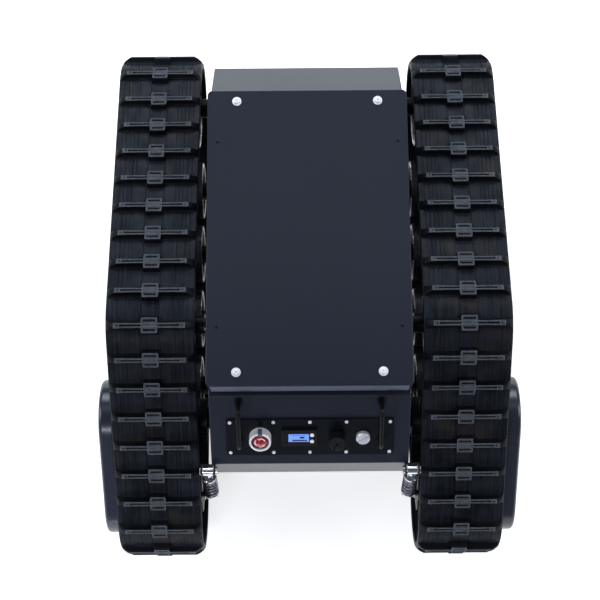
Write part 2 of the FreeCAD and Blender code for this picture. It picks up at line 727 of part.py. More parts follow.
FUSE_SPIGOT_R = 6.0
FUSE_CAP_R = 12.0
FUSE_CAP_Z = (5.2, 13.0)
FUSE_SLOT_DEG = 32.0


def fuse_socket():
    barrel = post(FUSE_X, CONTROL_ROW, FUSE_BARREL_R, -34.0, PANEL_THICK)
    flange = post(FUSE_X, CONTROL_ROW, FUSE_CAP_R + 1.0, PANEL_THICK, PANEL_THICK + 2.0)
    nut = post(FUSE_X, CONTROL_ROW, FUSE_BARREL_R + 3.5, -SHEET - 4.0, -SHEET)
    bore = post(FUSE_X, CONTROL_ROW, FUSE_SPIGOT_R + RUNNING_GAP, -26.0, PANEL_THICK + 3.0)
    return fuse_all(barrel, [flange, nut]).cut(bore)


def fuse_cap():
    """Screwdriver-slotted cap that a quarter turn frees from its socket."""
    foot, top = FUSE_CAP_Z
    head = round_top(post(FUSE_X, CONTROL_ROW, FUSE_CAP_R, foot, top), 1.5)
    spigot = post(FUSE_X, CONTROL_ROW, FUSE_SPIGOT_R, -20.0, foot)
    slot = slab(FUSE_X, CONTROL_ROW, FUSE_CAP_R + 2.0, 1.3, top - 2.6, top + 1.0)
    slot.rotate(V(FUSE_X, CONTROL_ROW, 0), V(0, 0, 1), FUSE_SLOT_DEG)
    return head.fuse(spigot).removeSplitter().cut(slot)


# ---- inside the tub ------------------------------------------------------------------------
TUB_FLOOR = HULL_FLOOR_Z + SHEET
BATTERY_HALF = (90.0, 110.0)
BATTERY_Y = 150.0
BATTERY_TALL = 95.0
STRAP_HALF_WIDTH = 20.0
STRAP_THICK = 2.3
STRAP_SLACK = 0.2
CONTROLLER_HALF = (70.0, 60.0)
CONTROLLER_Y = -60.0
CONTROLLER_TALL = 28.0
FIN_COUNT = 12
FIN_TALL = 16.0
FIN_SPACING = 12.0
FIN_THICK = 4.0


def battery_pack():
    pack = slab(0.0, BATTERY_Y, BATTERY_HALF[0], BATTERY_HALF[1], TUB_FLOOR,
                TUB_FLOOR + BATTERY_TALL)
    return round_corners(pack, 8.0)


def battery_strap():
    """Webbing strap round the battery, from the floor over the top."""
    inner_x = BATTERY_HALF[0] + STRAP_SLACK
    inner_z = TUB_FLOOR + BATTERY_TALL + STRAP_SLACK
    outer = slab(0.0, BATTERY_Y, inner_x + STRAP_THICK, STRAP_HALF_WIDTH, TUB_FLOOR,
                 inner_z + STRAP_THICK)
    return outer.cut(slab(0.0, BATTERY_Y, inner_x, STRAP_HALF_WIDTH + 1, TUB_FLOOR - 1, inner_z))


def motor_controller():
    """Heat-sinked box that drives both motors."""
    top = TUB_FLOOR + CONTROLLER_TALL
    box = slab(0.0, CONTROLLER_Y, CONTROLLER_HALF[0], CONTROLLER_HALF[1], TUB_FLOOR, top)
    fins = []
    for number in range(FIN_COUNT):
        x = (number - (FIN_COUNT - 1) / 2) * FIN_SPACING
        fins.append(slab(x, CONTROLLER_Y, FIN_THICK / 2, CONTROLLER_HALF[1] - 4.0, top,
                         top + FIN_TALL))
    return box.multiFuse(fins)


def drive_motor():
    """Motor can, gearbox, and the round nose that the swing arm turns on."""
    y, z = ARM_PIVOT_YZ
    wall = HULL_HALF_WIDTH - SHEET
    can = disc(y, z, 34.0, 12.0, 110.0)
    gearbox = disc(y, z, 42.0, 108.0, wall)
    nose = disc(y, z, PIVOT_NOSE_R, wall - 1, 216.0)
    bore = disc(y, z, DRIVE_SHAFT_R + RUNNING_GAP, 120.0, 217.0)
    return fuse_all(can, [gearbox, nose]).cut(bore)


# ---- track frame and suspension ------------------------------------------------------------
def wheel_places():
    places = {"front_idler": (IDLER_Y, IDLER_Z, IDLER_R, 8),
              "return_roller": (ROLLER_YZ[0], ROLLER_YZ[1], ROLLER_R, 8)}
    for number, y in enumerate(ROAD_YS, start=1):
        places["road_wheel_%d" % number] = (y, ROAD_Z, ROAD_R, 6)
    return places


def frame_bolt_shapes(shank_r, head_r):
    """Bolts that hold the track frames to the tub, or the holes they go through."""
    shapes = []
    for y, z in FRAME_BOLTS:
        bolt = disc(y, z, shank_r, HULL_HALF_WIDTH - SHEET - 4.0, FRAME_X[1])
        if head_r:
            bolt = bolt.fuse(disc(y, z, head_r, FRAME_X[1], FRAME_X[1] + 5.0))
        shapes += [bolt, mirrored(bolt)]
    return shapes


def track_frame():
    """Flat plate on the side of the tub that carries the idler, roller and road wheels."""
    x0, x1 = FRAME_X
    rail_z = ROAD_Z + 20.0
    rail_front = (ROAD_YS[0], rail_z, RAIL_R)
    rail = link((ROAD_YS[-1], rail_z, RAIL_R), rail_front, x0, x1)
    nose = link(rail_front, (IDLER_Y, IDLER_Z, NOSE_R), x0, x1)
    mast = link((ROLLER_YZ[0], ROAD_Z + 50.0, MAST_R[0]), ROLLER_YZ + (MAST_R[1],), x0, x1)
    web = link((-110.0, 160.0, 30.0), (290.0, 165.0, 30.0), x0, x1)
    plate = fuse_all(rail, [nose, mast, web])
    holes = [disc(y, 128.0, 17.0, x0 - 1, x1 + 1) for y in (-70.0, 60.0, 190.0)]
    holes.append(disc(ROLLER_YZ[0], 282.0, 13.0, x0 - 1, x1 + 1))
    return plate.cut(holes + frame_bolt_shapes(FRAME_BOLT_HOLE_R, 0.0))


def swing_arm():
    """Inner plate, cross tube and outer back plate, welded into one fork."""
    pivot_y, pivot_z = ARM_PIVOT_YZ
    axle_y, axle_z = SPROCKET_YZ
    foot_y, foot_z = SHOCK_FOOT_YZ
    x0, x1 = ARM_PLATE_X
    plate = link(SPROCKET_YZ + (ARM_PLATE_R,), ARM_PIVOT_YZ + (ARM_PLATE_R,), x0, x1)
    boss = disc(foot_y, foot_z, 3 * SHOCK_STUD_R, x0, x1)
    stud = disc(foot_y, foot_z, SHOCK_STUD_R, SHOCK_X - SHOCK_EYE_HALF - 2.5, x0)
    back = link(SPROCKET_YZ + (CASE_R - 4.0,), ARM_PIVOT_YZ + (CASE_R - 4.0,), *ARM_BACK_X)
    cross = disc(pivot_y, pivot_z, ARM_TUBE_R, x1, ARM_BACK_X[0])
    solid = fuse_all(plate, [boss, stud, back, cross])
    nose_bore = disc(pivot_y, pivot_z, PIVOT_NOSE_R + RUNNING_GAP, x0 - 1, ARM_BACK_X[0] - 6)
    shaft_bore = disc(pivot_y, pivot_z, DRIVE_SHAFT_R + RUNNING_GAP, x0, ARM_BACK_X[1] + 1)
    axle_bore = disc(axle_y, axle_z, DRIVE_AXLE_R + RUNNING_GAP, x0 - 1, ARM_BACK_X[1] + 1)
    window = disc((pivot_y + axle_y) / 2, (pivot_z + axle_z) / 2, 19.0, x0 - 1, x1 + 1)
    return solid.cut([nose_bore, shaft_bore, axle_bore, window])


def chain_case():
    """Smooth stadium-shaped cover that closes the chain drive."""
    x0, x1 = CASE_X
    outer = link(SPROCKET_YZ + (CASE_R,), ARM_PIVOT_YZ + (CASE_R,), x0, x1)
    rim = [e for e in outer.Edges if e.BoundBox.XMin > x1 - 0.01]
    outer = outer.makeFillet(7.0, rim)
    inner_r = CASE_R - CASE_WALL
    hollow = link(SPROCKET_YZ + (inner_r,), ARM_PIVOT_YZ + (inner_r,), x0 - 1, x1 - CASE_WALL)
    return outer.cut(hollow)


def drive_chain():
    circles = [SPROCKET_YZ + (CHAIN_SPROCKET_R,), ARM_PIVOT_YZ + (CHAIN_SPROCKET_R,)]
    return loop_band(circles, 0.0, 5.0, *CHAIN_X)


def geared_shaft(place, radius, x0):
    """A shaft with a chain wheel at its outer end and a collar inside the chain case."""
    y, z = place
    collar_x = CASE_X[0] + 0.5
    shaft = disc(y, z, radius, x0, CHAIN_X[1] + 3.0)
    chain_wheel = disc(y, z, CHAIN_SPROCKET_R - 0.3, CHAIN_X[0] - 0.5, CHAIN_X[1] + 0.5)
    collar = disc(y, z, radius + 5.0, collar_x, collar_x + 4.0)
    return fuse_all(shaft, [chain_wheel, collar])


def drive_shaft():
    return geared_shaft(ARM_PIVOT_YZ, DRIVE_SHAFT_R, 122.0)


def drive_axle():
    return geared_shaft(SPROCKET_YZ, DRIVE_AXLE_R, ARM_PLATE_X[0] - 4.0)


# ---- shocks, built hanging from the upper eye along -Z -------------------------------------
SHOCK_DY = SHOCK_FOOT_YZ[0] - SHOCK_TOP_YZ[0]
SHOCK_DZ = SHOCK_FOOT_YZ[1] - SHOCK_TOP_YZ[1]
SHOCK_LENGTH = math.hypot(SHOCK_DY, SHOCK_DZ)
SPRING_TOP = -30.0
SPRING_FOOT = -106.0
SPRING_WIRE = 3.5
SHOCK_ROD_R = 4.0
SHOCK_CAN_R = 8.0
SHOCK_CAN_FOOT = -62.0
SHOCK_SEAT_R = 13.0
SHOCK_SEAT_THICK = 4.0
LINKAGE_PLAY = 0.7


def hang_shock(shape):
    moved = shape.copy()
    lean = math.degrees(math.atan2(SHOCK_DY, -SHOCK_DZ))
    moved.rotate(V(0, 0, 0), V(1, 0, 0), lean)
    moved.translate(V(SHOCK_X, SHOCK_TOP_YZ[0], SHOCK_TOP_YZ[1]))
    return moved


def shock_eye(z, outer, bore):
    """The eye at one end of a shock and the hole through it."""
    eye = disc(0, z, outer, -SHOCK_EYE_HALF, SHOCK_EYE_HALF)
    return eye, disc(0, z, bore, -SHOCK_EYE_HALF - 1, SHOCK_EYE_HALF + 1)


def shock_body():
    """Upper eye, pressure tube and the upper seat of the spring."""
    eye, hole = shock_eye(0.0, SHOCK_EYE_R, SHOCK_BOLT_R + RUNNING_GAP)
    can = post(0, 0, SHOCK_CAN_R, SHOCK_CAN_FOOT, -5.0)
    seat = post(0, 0, SHOCK_SEAT_R, SPRING_TOP, SPRING_TOP + SHOCK_SEAT_THICK)
    bore = post(0, 0, SHOCK_ROD_R + RUNNING_GAP, SHOCK_CAN_FOOT - 1, -20.0)
    return hang_shock(fuse_all(eye, [can, seat]).cut([hole, bore]))


def shock_rod():
    """Lower eye, rod and the lower seat; the eye is bored wide so that the linkage is free."""
    eye, hole = shock_eye(-SHOCK_LENGTH, SHOCK_EYE_R + 0.5, SHOCK_STUD_R + LINKAGE_PLAY)
    rod = post(0, 0, SHOCK_ROD_R, -SHOCK_LENGTH + 7.0, -38.0)
    seat = post(0, 0, SHOCK_SEAT_R, SPRING_FOOT - SHOCK_SEAT_THICK, SPRING_FOOT)
    return hang_shock(fuse_all(eye, [rod, seat]).cut(hole))


def shock_spring():
    """Envelope of the coil spring between its two seats."""
    outer = post(0, 0, SHOCK_COIL_R, SPRING_FOOT, SPRING_TOP)
    inner = post(0, 0, SHOCK_COIL_R - SPRING_WIRE, SPRING_FOOT - 1, SPRING_TOP + 1)
    return hang_shock(outer.cut(inner))


def shock_upper_bolts():
    """Bolt through the ears and the upper eye, with a thin head outside and a nut inside."""
    y, z = SHOCK_TOP_YZ
    ear_face = EAR_SPREAD + EAR_THICK / 2
    shank = disc(y, z, SHOCK_BOLT_R, SHOCK_X - ear_face - 1.0, SHOCK_X + ear_face + 1.0)
    head = disc(y, z, SHOCK_BOLT_R + 3.0, SHOCK_X + ear_face, SHOCK_X + ear_face + 1.5)
    nut = disc(y, z, SHOCK_BOLT_R + 3.0, SHOCK_X - ear_face - 4.0, SHOCK_X - ear_face)
    bolt = fuse_all(shank, [head, nut])
    return Part.makeCompound([bolt, mirrored(bolt)])


# ---- write every piece ---------------------------------------------------------------------
def save_hull():
    save("chassis_tub", chassis_tub())
    save("top_lid", top_lid())
    save("lid_screws", lid_screws())
    save("battery_pack", battery_pack())
    save("battery_strap", battery_strap())
    save("motor_controller", motor_controller())
    save_pair("drive_motor", drive_motor())


def save_controls():
    save("control_panel", on_slope(control_panel()))
    save("control_panel_screws", on_slope(control_panel_screws()))
    save("panel_handles", panel_handles())
    save("estop_guard", on_slope(estop_guard()))
    save("estop_base", on_slope(estop_base()))
    save("estop_plunger", on_slope(estop_plunger()))
    save("estop_button", on_slope(estop_button()))
    save("battery_meter_case", on_slope(battery_meter_case()))
    save("battery_meter_screen", on_slope(battery_meter_screen()))
    for name, dy in METER_BUTTON_OFFSETS.items():
        save("meter_button_" + name, on_slope(meter_button(dy)))
    save("knob_bush", on_slope(knob_bush()))
    save("power_knob", on_slope(power_knob()))
    save("fuse_socket", on_slope(fuse_socket()))
    save("fuse_cap", on_slope(fuse_cap()))


def save_tracks():
    save_pair("track_frame", track_frame())
    save("track_frame_bolts", Part.makeCompound(frame_bolt_shapes(FRAME_BOLT_R, FRAME_BOLT_HEAD_R)))
    axles = [wheel_axle(place[0], place[1]) for place in wheel_places().values()]
    save("wheel_axles", Part.makeCompound(axles + [mirrored(axle) for axle in axles]))
    for name, (y, z, radius, holes) in wheel_places().items():
        save_pair(name, track_wheel(y, z, radius, holes))
    save_pair("drive_sprocket", drive_sprocket())
    save_pair("track_belt", BELT)


def save_suspension():
    save_pair("swing_arm", swing_arm())
    save_pair("chain_case", chain_case())
    save_pair("drive_chain", drive_chain())
    save_pair("drive_shaft", drive_shaft())
    save_pair("drive_axle", drive_axle())
    save_pair("shock_body", shock_body())
    save_pair("shock_rod", shock_rod())
    save_pair("shock_spring", shock_spring())
    save("shock_upper_bolts", shock_upper_bolts())


os.makedirs("parts", exist_ok=True)
print("pitch", round(PITCH, 3), "lugs", LUG_COUNT, "idler y", round(IDLER_Y, 2))
print("datum shift", DATUM_SHIFT)
save_hull()
save_controls()
save_tracks()
save_suspension()
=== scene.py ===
"""Studio scene of a tracked robot chassis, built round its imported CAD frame."""
import json
import math

import bmesh
import bpy
from mathutils import Matrix, Vector


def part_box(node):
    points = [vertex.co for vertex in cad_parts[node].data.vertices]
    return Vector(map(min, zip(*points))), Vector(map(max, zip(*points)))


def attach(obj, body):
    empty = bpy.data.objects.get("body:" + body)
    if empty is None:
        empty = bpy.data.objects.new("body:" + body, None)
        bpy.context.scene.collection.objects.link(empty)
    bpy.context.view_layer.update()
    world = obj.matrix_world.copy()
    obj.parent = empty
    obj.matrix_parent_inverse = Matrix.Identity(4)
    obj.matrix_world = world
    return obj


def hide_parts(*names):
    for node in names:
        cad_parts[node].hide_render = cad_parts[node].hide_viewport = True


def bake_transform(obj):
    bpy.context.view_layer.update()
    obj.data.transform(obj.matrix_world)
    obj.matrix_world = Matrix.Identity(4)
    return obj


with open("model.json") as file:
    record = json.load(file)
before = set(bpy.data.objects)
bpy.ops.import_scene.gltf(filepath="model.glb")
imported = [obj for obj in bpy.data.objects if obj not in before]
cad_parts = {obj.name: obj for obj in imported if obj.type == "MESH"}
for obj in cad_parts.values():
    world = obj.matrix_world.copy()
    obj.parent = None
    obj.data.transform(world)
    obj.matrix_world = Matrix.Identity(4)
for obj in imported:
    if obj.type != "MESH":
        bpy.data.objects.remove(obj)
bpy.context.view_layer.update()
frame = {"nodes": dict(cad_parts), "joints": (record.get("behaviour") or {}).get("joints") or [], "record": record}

OUTWARD = {"left": -1.0, "right": 1.0}
WHEELS = ("front_idler", "return_roller", "road_wheel_1", "road_wheel_2", "road_wheel_3",
          "road_wheel_4")


# ---- places read from the frame ------------------------------------------------------------
JOINTS = {joint["name"]: joint for joint in frame["joints"]}


def middle(node):
    low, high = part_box(node)
    return (low + high) / 2


def spread(node):
    low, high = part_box(node)
    return high - low


SLOPE = math.radians(45)
UP_SLOPE = Vector((0, math.cos(SLOPE), math.sin(SLOPE)))
OUT_OF_SLOPE = Vector((0, -math.sin(SLOPE), math.cos(SLOPE)))
PANEL_MIDDLE = middle("control_panel")
PANEL_THICKNESS = 0.003


def slope_point(x, along, out):
    """A point on the rear control face: out is measured from the panel's outer face."""
    return (Vector((x, PANEL_MIDDLE.y, PANEL_MIDDLE.z)) + UP_SLOPE * along
            + OUT_OF_SLOPE * (out + PANEL_THICKNESS / 2))


def slope_matrix(x, along, out):
    """Local X across, Y up the slope, Z out of it."""
    rotation = Matrix.Rotation(SLOPE, 4, "X")
    return Matrix.Translation(slope_point(x, along, out)) @ rotation


def slope_coordinates(node):
    """Where a round control stands on the panel: across and along it."""
    offset = middle(node) - PANEL_MIDDLE
    return offset.x, offset.dot(UP_SLOPE)


def height_on_slope(node):
    """Thickness of a round control measured out of the slope, from its box."""
    size = spread(node)
    return (size.z - size.x * math.sin(SLOPE)) / math.cos(SLOPE)


# ---- node helpers --------------------------------------------------------------------------
class Shader:
    """A small builder for procedural materials."""

    def __init__(self, name, roughness, metallic=0.0):
        self.material = bpy.data.materials.new(name)
        self.material.use_nodes = True
        self.tree = self.material.node_tree
        self.bsdf = self.tree.nodes["Principled BSDF"]
        self.bsdf.inputs["Roughness"].default_value = roughness
        self.bsdf.inputs["Metallic"].default_value = metallic
        self.place = self.tree.nodes.new("ShaderNodeTexCoord").outputs["Object"]
        self.height = None

    def node(self, kind, **inputs):
        """Add a node; each input is a value or another node's output."""
        made = self.tree.nodes.new(kind)
        for key, value in inputs.items():
            socket = made.inputs[key.replace("_", " ")]
            if isinstance(value, bpy.types.NodeSocket):
                self.tree.links.new(value, socket)
            else:
                socket.default_value = value
        return made

    def link(self, output, socket_name):
        self.tree.links.new(output, self.bsdf.inputs[socket_name])

    def noise(self, scale, detail=4.0, stretch=None):
        """Noise in object space, finer along an axis whose stretch is over 1."""
        place = self.place
        if stretch:
            mapping = self.node("ShaderNodeMapping", Vector=place)
            mapping.inputs["Scale"].default_value = stretch
            place = mapping.outputs["Vector"]
        made = self.node("ShaderNodeTexNoise", Vector=place, Scale=scale, Detail=detail)
        return made.outputs["Fac"]

    def ramp(self, value, low, high, out_low=0.0, out_high=1.0):
        """Map low..high to out_low..out_high, clamped."""
        made = self.node("ShaderNodeMapRange", Value=value)
        made.inputs["From Min"].default_value = low
        made.inputs["From Max"].default_value = high
        made.inputs["To Min"].default_value = out_low
        made.inputs["To Max"].default_value = out_high
        return made.outputs["Result"]

    def mix(self, factor, first, second):
        """Mix two colours or outputs.  The node's colour sockets are inputs 6 and 7, output 2."""
        made = self.tree.nodes.new("ShaderNodeMix")
        made.data_type = "RGBA"
        self.tree.links.new(factor, made.inputs[0])
        for socket, colour in ((made.inputs[6], first), (made.inputs[7], second)):
            if isinstance(colour, bpy.types.NodeSocket):
                self.tree.links.new(colour, socket)
            else:
                socket.default_value = (*colour, 1.0)
        return made.outputs[2]

    def bump(self, height, strength, distance):
        """Add a bump on top of the earlier ones."""
        made = self.node("ShaderNodeBump", Height=height, Strength=strength, Distance=distance)
        if self.height:
            self.tree.links.new(self.height, made.inputs["Normal"])
        self.height = made.outputs["Normal"]
        self.link(self.height, "Normal")

    def set(self, socket_name, value):
        self.bsdf.inputs[socket_name].default_value = value


def powder_coat(name, dark, light, roughness, gloss):
    """Satin powder coat: orange-peel bump, faint tone drift, dust specks, soft sheen patches."""
    shader = Shader(name, roughness)
    shader.set("Specular IOR Level", gloss)
    drift = shader.ramp(shader.noise(3.0, 2.0), 0.1, 0.9)
    base = shader.mix(drift, dark, light)
    dust = shader.ramp(shader.noise(700.0, 4.0), 0.70, 0.85, 0.0, 0.5)
    dusty = tuple(channel * 1.6 + 0.01 for channel in light)
    shader.link(shader.mix(dust, base, dusty), "Base Color")
    patches = shader.noise(9.0, 3.0)
    shader.link(shader.ramp(patches, 0.1, 0.9, roughness - 0.02, roughness + 0.03), "Roughness")
    shader.bump(shader.noise(1100.0, 2.0), 0.10, 0.0002)
    shader.bump(shader.noise(260.0, 2.0), 0.03, 0.0003)
    return shader.material


def metal(name, dark, light, roughness, stretch=None, scratch=0.08):
    """Bare or plated metal with fine tool marks and small smudges."""
    shader = Shader(name, roughness, 1.0)
    tone = shader.ramp(shader.noise(45.0, 6.0), 0.3, 0.7)
    shader.link(shader.mix(tone, dark, light), "Base Color")
    smudge = shader.noise(120.0, 6.0)
    shader.link(shader.ramp(smudge, 0.3, 0.75, roughness - 0.06, roughness + 0.12), "Roughness")
    shader.bump(shader.noise(500.0, 2.0, stretch), scratch, 0.00015)
    return shader.material


def satin_silver(name, roughness, metallic, dark, light):
    """Pale anodised metal: part bright, part milky surface, with turning marks."""
    shader = Shader(name, roughness, metallic)
    tone = shader.ramp(shader.noise(60.0, 5.0), 0.3, 0.7)
    shader.link(shader.mix(tone, dark, light), "Base Color")
    shader.bump(shader.noise(700.0, 2.0, (1.0, 6.0, 6.0)), 0.06, 0.0001)
    return shader.material


def plastic(name, dark, light, roughness, grain=1400.0, strength=0.1, gloss=0.5):
    """Moulded plastic: fine grain, small gloss changes."""
    shader = Shader(name, roughness)
    shader.set("Specular IOR Level", gloss)
    tone = shader.ramp(shader.noise(50.0, 4.0), 0.3, 0.7)
    shader.link(shader.mix(tone, dark, light), "Base Color")
    handled = shader.noise(90.0, 5.0)
    shader.link(shader.ramp(handled, 0.3, 0.7, roughness - 0.05, roughness + 0.08), "Roughness")
    shader.bump(shader.noise(grain, 2.0), strength, 0.00012)
    return shader.material


def belt_rubber():
    """Moulded rubber: near black, bluish bloom, scuffed brown dust, worn grey rims on the bars, and painted shade
    that darkens the flanks of the bars.
    """
    shader = Shader("belt_rubber", 0.5)
    shader.set("Specular IOR Level", 0.07)
    wear_and_shade = shader.tree.nodes.new("ShaderNodeAttribute")
    wear_and_shade.attribute_name = "wear_and_shade"
    cloud = shader.ramp(shader.noise(24.0, 6.0), 0.35, 0.68)
    base = shader.mix(cloud, (0.0045, 0.0056, 0.0088), (0.0125, 0.0146, 0.0205))
    streaks = shader.ramp(shader.noise(26.0, 3.0, (9.0, 0.5, 0.5)), 0.45, 0.75, 0.0, 0.8)
    base = shader.mix(streaks, base, (0.0180, 0.0210, 0.0290))
    scuffs = shader.ramp(shader.noise(13.0, 5.0), 0.56, 0.72, 0.0, 0.75)
    base = shader.mix(scuffs, base, (0.0270, 0.0230, 0.0205))
    # Painted shade: negative values of the per-vertex attribute mix the flanks of the bars towards near black.
    flank_shade_mask = shader.ramp(wear_and_shade.outputs["Fac"], -1.0, 0.0, 0.75, 0.0)
    base = shader.mix(flank_shade_mask, base, (0.0015, 0.0018, 0.0026))
    broken = shader.ramp(shader.noise(150.0, 5.0), 0.32, 0.62, 0.60, 1.0)
    rim = shader.node("ShaderNodeMath")
    rim.operation = "MULTIPLY"
    shader.tree.links.new(wear_and_shade.outputs["Fac"], rim.inputs[0])
    shader.tree.links.new(broken, rim.inputs[1])
    shader.link(shader.mix(rim.outputs[0], base, (0.115, 0.125, 0.145)), "Base Color")
    gloss = shader.noise(60.0, 5.0)
    shader.link(shader.ramp(gloss, 0.3, 0.75, 0.36, 0.58), "Roughness")
    shader.bump(shader.noise(420.0, 6.0), 0.20, 0.0004)
    shader.bump(shader.noise(60.0, 4.0, (6.0, 0.7, 0.7)), 0.16, 0.0006)
    return shader.material


def screen_material():
    """Backlit display: blue, with faint rows of picture cells."""
    shader = Shader("blue_display", 0.15)
    cells = shader.tree.nodes.new("ShaderNodeTexWave")
    cells.inputs["Scale"].default_value = 260.0
    shader.tree.links.new(shader.place, cells.inputs["Vector"])
    drift = shader.ramp(shader.noise(60.0, 3.0), 0.3, 0.7)
    base = shader.mix(drift, (0.12, 0.24, 0.72), (0.24, 0.42, 0.95))
    glow = shader.mix(cells.outputs["Fac"], base, (0.16, 0.30, 0.82))
    shader.link(glow, "Base Color")
    shader.link(glow, "Emission Color")
    shader.set("Emission Strength", 0.35)
    shader.bump(shader.noise(900.0, 2.0), 0.02, 0.0001)
    return shader.material


def red_lacquer():
    """Glossy red moulding with a clear coat."""
    shader = Shader("red_gloss", 0.2)
    tone = shader.ramp(shader.noise(70.0, 4.0), 0.3, 0.7)
    shader.link(shader.mix(tone, (0.20, 0.004, 0.010), (0.42, 0.009, 0.018)), "Base Color")
    shader.set("Coat Weight", 0.7)
    shader.set("Coat Roughness", 0.06)
    shader.bump(shader.noise(600.0, 3.0), 0.05, 0.0001)
    return shader.material


def webbing():
    """Woven strap: a fine wave as the ribs of the weave."""
    shader = Shader("strap_webbing", 0.8)
    weave = shader.tree.nodes.new("ShaderNodeTexWave")
    weave.inputs["Scale"].default_value = 420.0
    shader.tree.links.new(shader.place, weave.inputs["Vector"])
    shader.link(shader.mix(weave.outputs["Fac"], (0.012, 0.012, 0.014), (0.045, 0.045, 0.05)),
                "Base Color")
    shader.bump(weave.outputs["Fac"], 0.4, 0.0004)
    return shader.material


MATERIALS = {
    "hull_paint": powder_coat("hull_powder", (0.011, 0.0135, 0.023), (0.0125, 0.0155, 0.026),
                              0.31, 0.25),
    "panel_paint": powder_coat("panel_powder", (0.003, 0.004, 0.006), (0.004, 0.005, 0.008),
                               0.24, 0.22),
    "case_paint": powder_coat("case_powder", (0.019, 0.022, 0.036), (0.023, 0.026, 0.042),
                              0.26, 0.45),
    "black_metal": powder_coat("black_powder", (0.006, 0.006, 0.007), (0.009, 0.009, 0.011),
                               0.30, 0.40),
    "rubber": belt_rubber(),
    "steel": metal("zinc_steel", (0.50, 0.50, 0.52), (0.72, 0.72, 0.74), 0.28),
    "dark_steel": metal("oiled_steel", (0.16, 0.16, 0.19), (0.30, 0.30, 0.35), 0.3),
    "chrome": metal("chrome_plate", (0.70, 0.70, 0.74), (0.86, 0.86, 0.90), 0.12, scratch=0.03),
    "aluminium": metal("machined_aluminium", (0.50, 0.50, 0.52), (0.66, 0.66, 0.68), 0.34,
                       (1.0, 8.0, 8.0)),
    "wheel_metal": metal("wheel_aluminium", (0.035, 0.037, 0.043), (0.065, 0.068, 0.076), 0.42,
                         (1.0, 6.0, 6.0)),
    "black_plastic": plastic("black_moulding", (0.0035, 0.0038, 0.0048), (0.0065, 0.0070, 0.0085),
                             0.40, gloss=0.16),
    "red_plastic": red_lacquer(),
    "white_plastic": plastic("white_moulding", (0.72, 0.72, 0.74), (0.85, 0.85, 0.86), 0.3),
    "blue_screen": screen_material(),
    "webbing": webbing(),
}
SATIN_SILVER = satin_silver("satin_silver", 0.38, 0.25, (0.76, 0.77, 0.81), (0.89, 0.90, 0.94))
TURNED_SILVER = satin_silver("turned_silver", 0.28, 0.62, (0.66, 0.67, 0.72), (0.86, 0.87, 0.92))
# Near-black steel: painted shade for the parts seen in the shaded gap beside the hull.
PAINTED_SHADE_STEEL = metal("painted_shade_steel", (0.010, 0.010, 0.012), (0.022, 0.022, 0.026), 0.45)
# Pale powder coat: the guard key's own grey, and painted light on the lid's skirt band.
PALE_PAINT_AND_PAINTED_LIGHT = powder_coat("pale_powder_and_painted_light", (0.085, 0.097, 0.134), (0.100, 0.114, 0.156), 0.36, 0.30)
GRIP_COAT = powder_coat("grip_powder", (0.003, 0.003, 0.004), (0.005, 0.005, 0.007), 0.34, 0.15)
FINISHES = {
    "estop_guard": SATIN_SILVER,
    "control_panel_screws": SATIN_SILVER,
    "lid_screws": SATIN_SILVER,
    "fuse_cap": TURNED_SILVER,
    "panel_handles": GRIP_COAT,
    # Painted shade: the parts in the gap beside the hull get near-black steel.
    "wheel_axles": PAINTED_SHADE_STEEL,
    "drive_motor_left": PAINTED_SHADE_STEEL,
    "drive_motor_right": PAINTED_SHADE_STEEL,
    "swing_arm_left": PAINTED_SHADE_STEEL,
    "swing_arm_right": PAINTED_SHADE_STEEL,
}
NODE_SLOTS = {part["node"]: part["material_slot"] for part in frame["record"]["subparts"]}


def dress_cad_nodes():
    """Every CAD node gets the material of its slot, or its own finish where it has one."""
    for name, node in frame["nodes"].items():
        node.data.materials.clear()
        node.data.materials.append(FINISHES.get(name, MATERIALS[NODE_SLOTS[name]]))


# ---- mesh helpers --------------------------------------------------------------------------
def make_piece(name, vertices, faces, slot_name, body, smooth_angle=35.0, finish=None):
    """A mesh piece from lists, riding on a body if one is named.  Its material is its slot's,
    or the finish."""
    mesh = bpy.data.meshes.new(name)
    mesh.from_pydata([tuple(vertex) for vertex in vertices], [], faces)
    mesh.validate()
    shell = bmesh.new()
    shell.from_mesh(mesh)
    bmesh.ops.recalc_face_normals(shell, faces=shell.faces)
    shell.to_mesh(mesh)
    shell.free()
    mesh.materials.append(finish or MATERIALS[slot_name])
    piece = bpy.data.objects.new(name, mesh)
    bpy.context.scene.collection.objects.link(piece)
    mesh.shade_smooth()
    mesh.set_sharp_from_angle(angle=math.radians(smooth_angle))
    if body:
        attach(piece, body)
    return piece


# ---- belts ---------------------------------------------------------------------------------
BELT_NEUTRAL = 0.005        # from the inner face of the band to its bending line
WHEEL_FACE_GAP = 0.0003     # between a wheel and the band round it
SPROCKET_RADIUS = 0.093
SPROCKET_TEETH = 11
FIRST_LUG = 0.004           # distance along the loop of the first tread bar
HALF_BELT = 0.075
BELT_FACE = 0.0050          # outer face of the band above its bending line
PANEL_FACE = 0.0048         # outer face of the middle panel, a little lower
GROOVES = ((0.0352, 0.0004), (0.0415, 0.0006), (0.0488, 0.0004), (0.0560, 0.0007),
           (0.0640, 0.0004))  # place across the belt, depth
STATIONS_PER_LUG = 14
BAR_HALF = 0.0612           # half length of a tread bar's top
CHANNEL_HALF = 0.0500       # half length of the channel sunk in it
PLUG_PLACE = 0.0545         # from the middle of the bar to each moulding mark
WORN = 1.0                  # values of the per-vertex attribute: worn rims, untouched rubber and painted shade on the flanks of the bars
FRESH = 0.0                 # untouched rubber
PAINTED_FLANK_SHADE = -1.0                # and the dark flanks of the bars


def wheel_circle(node, joint):
    """(y, z, radius of the face the belt lies on) of one wheel."""
    place = JOINTS[joint]["pos_m"]
    return place[1], place[2], spread(node).z / 2 + WHEEL_FACE_GAP


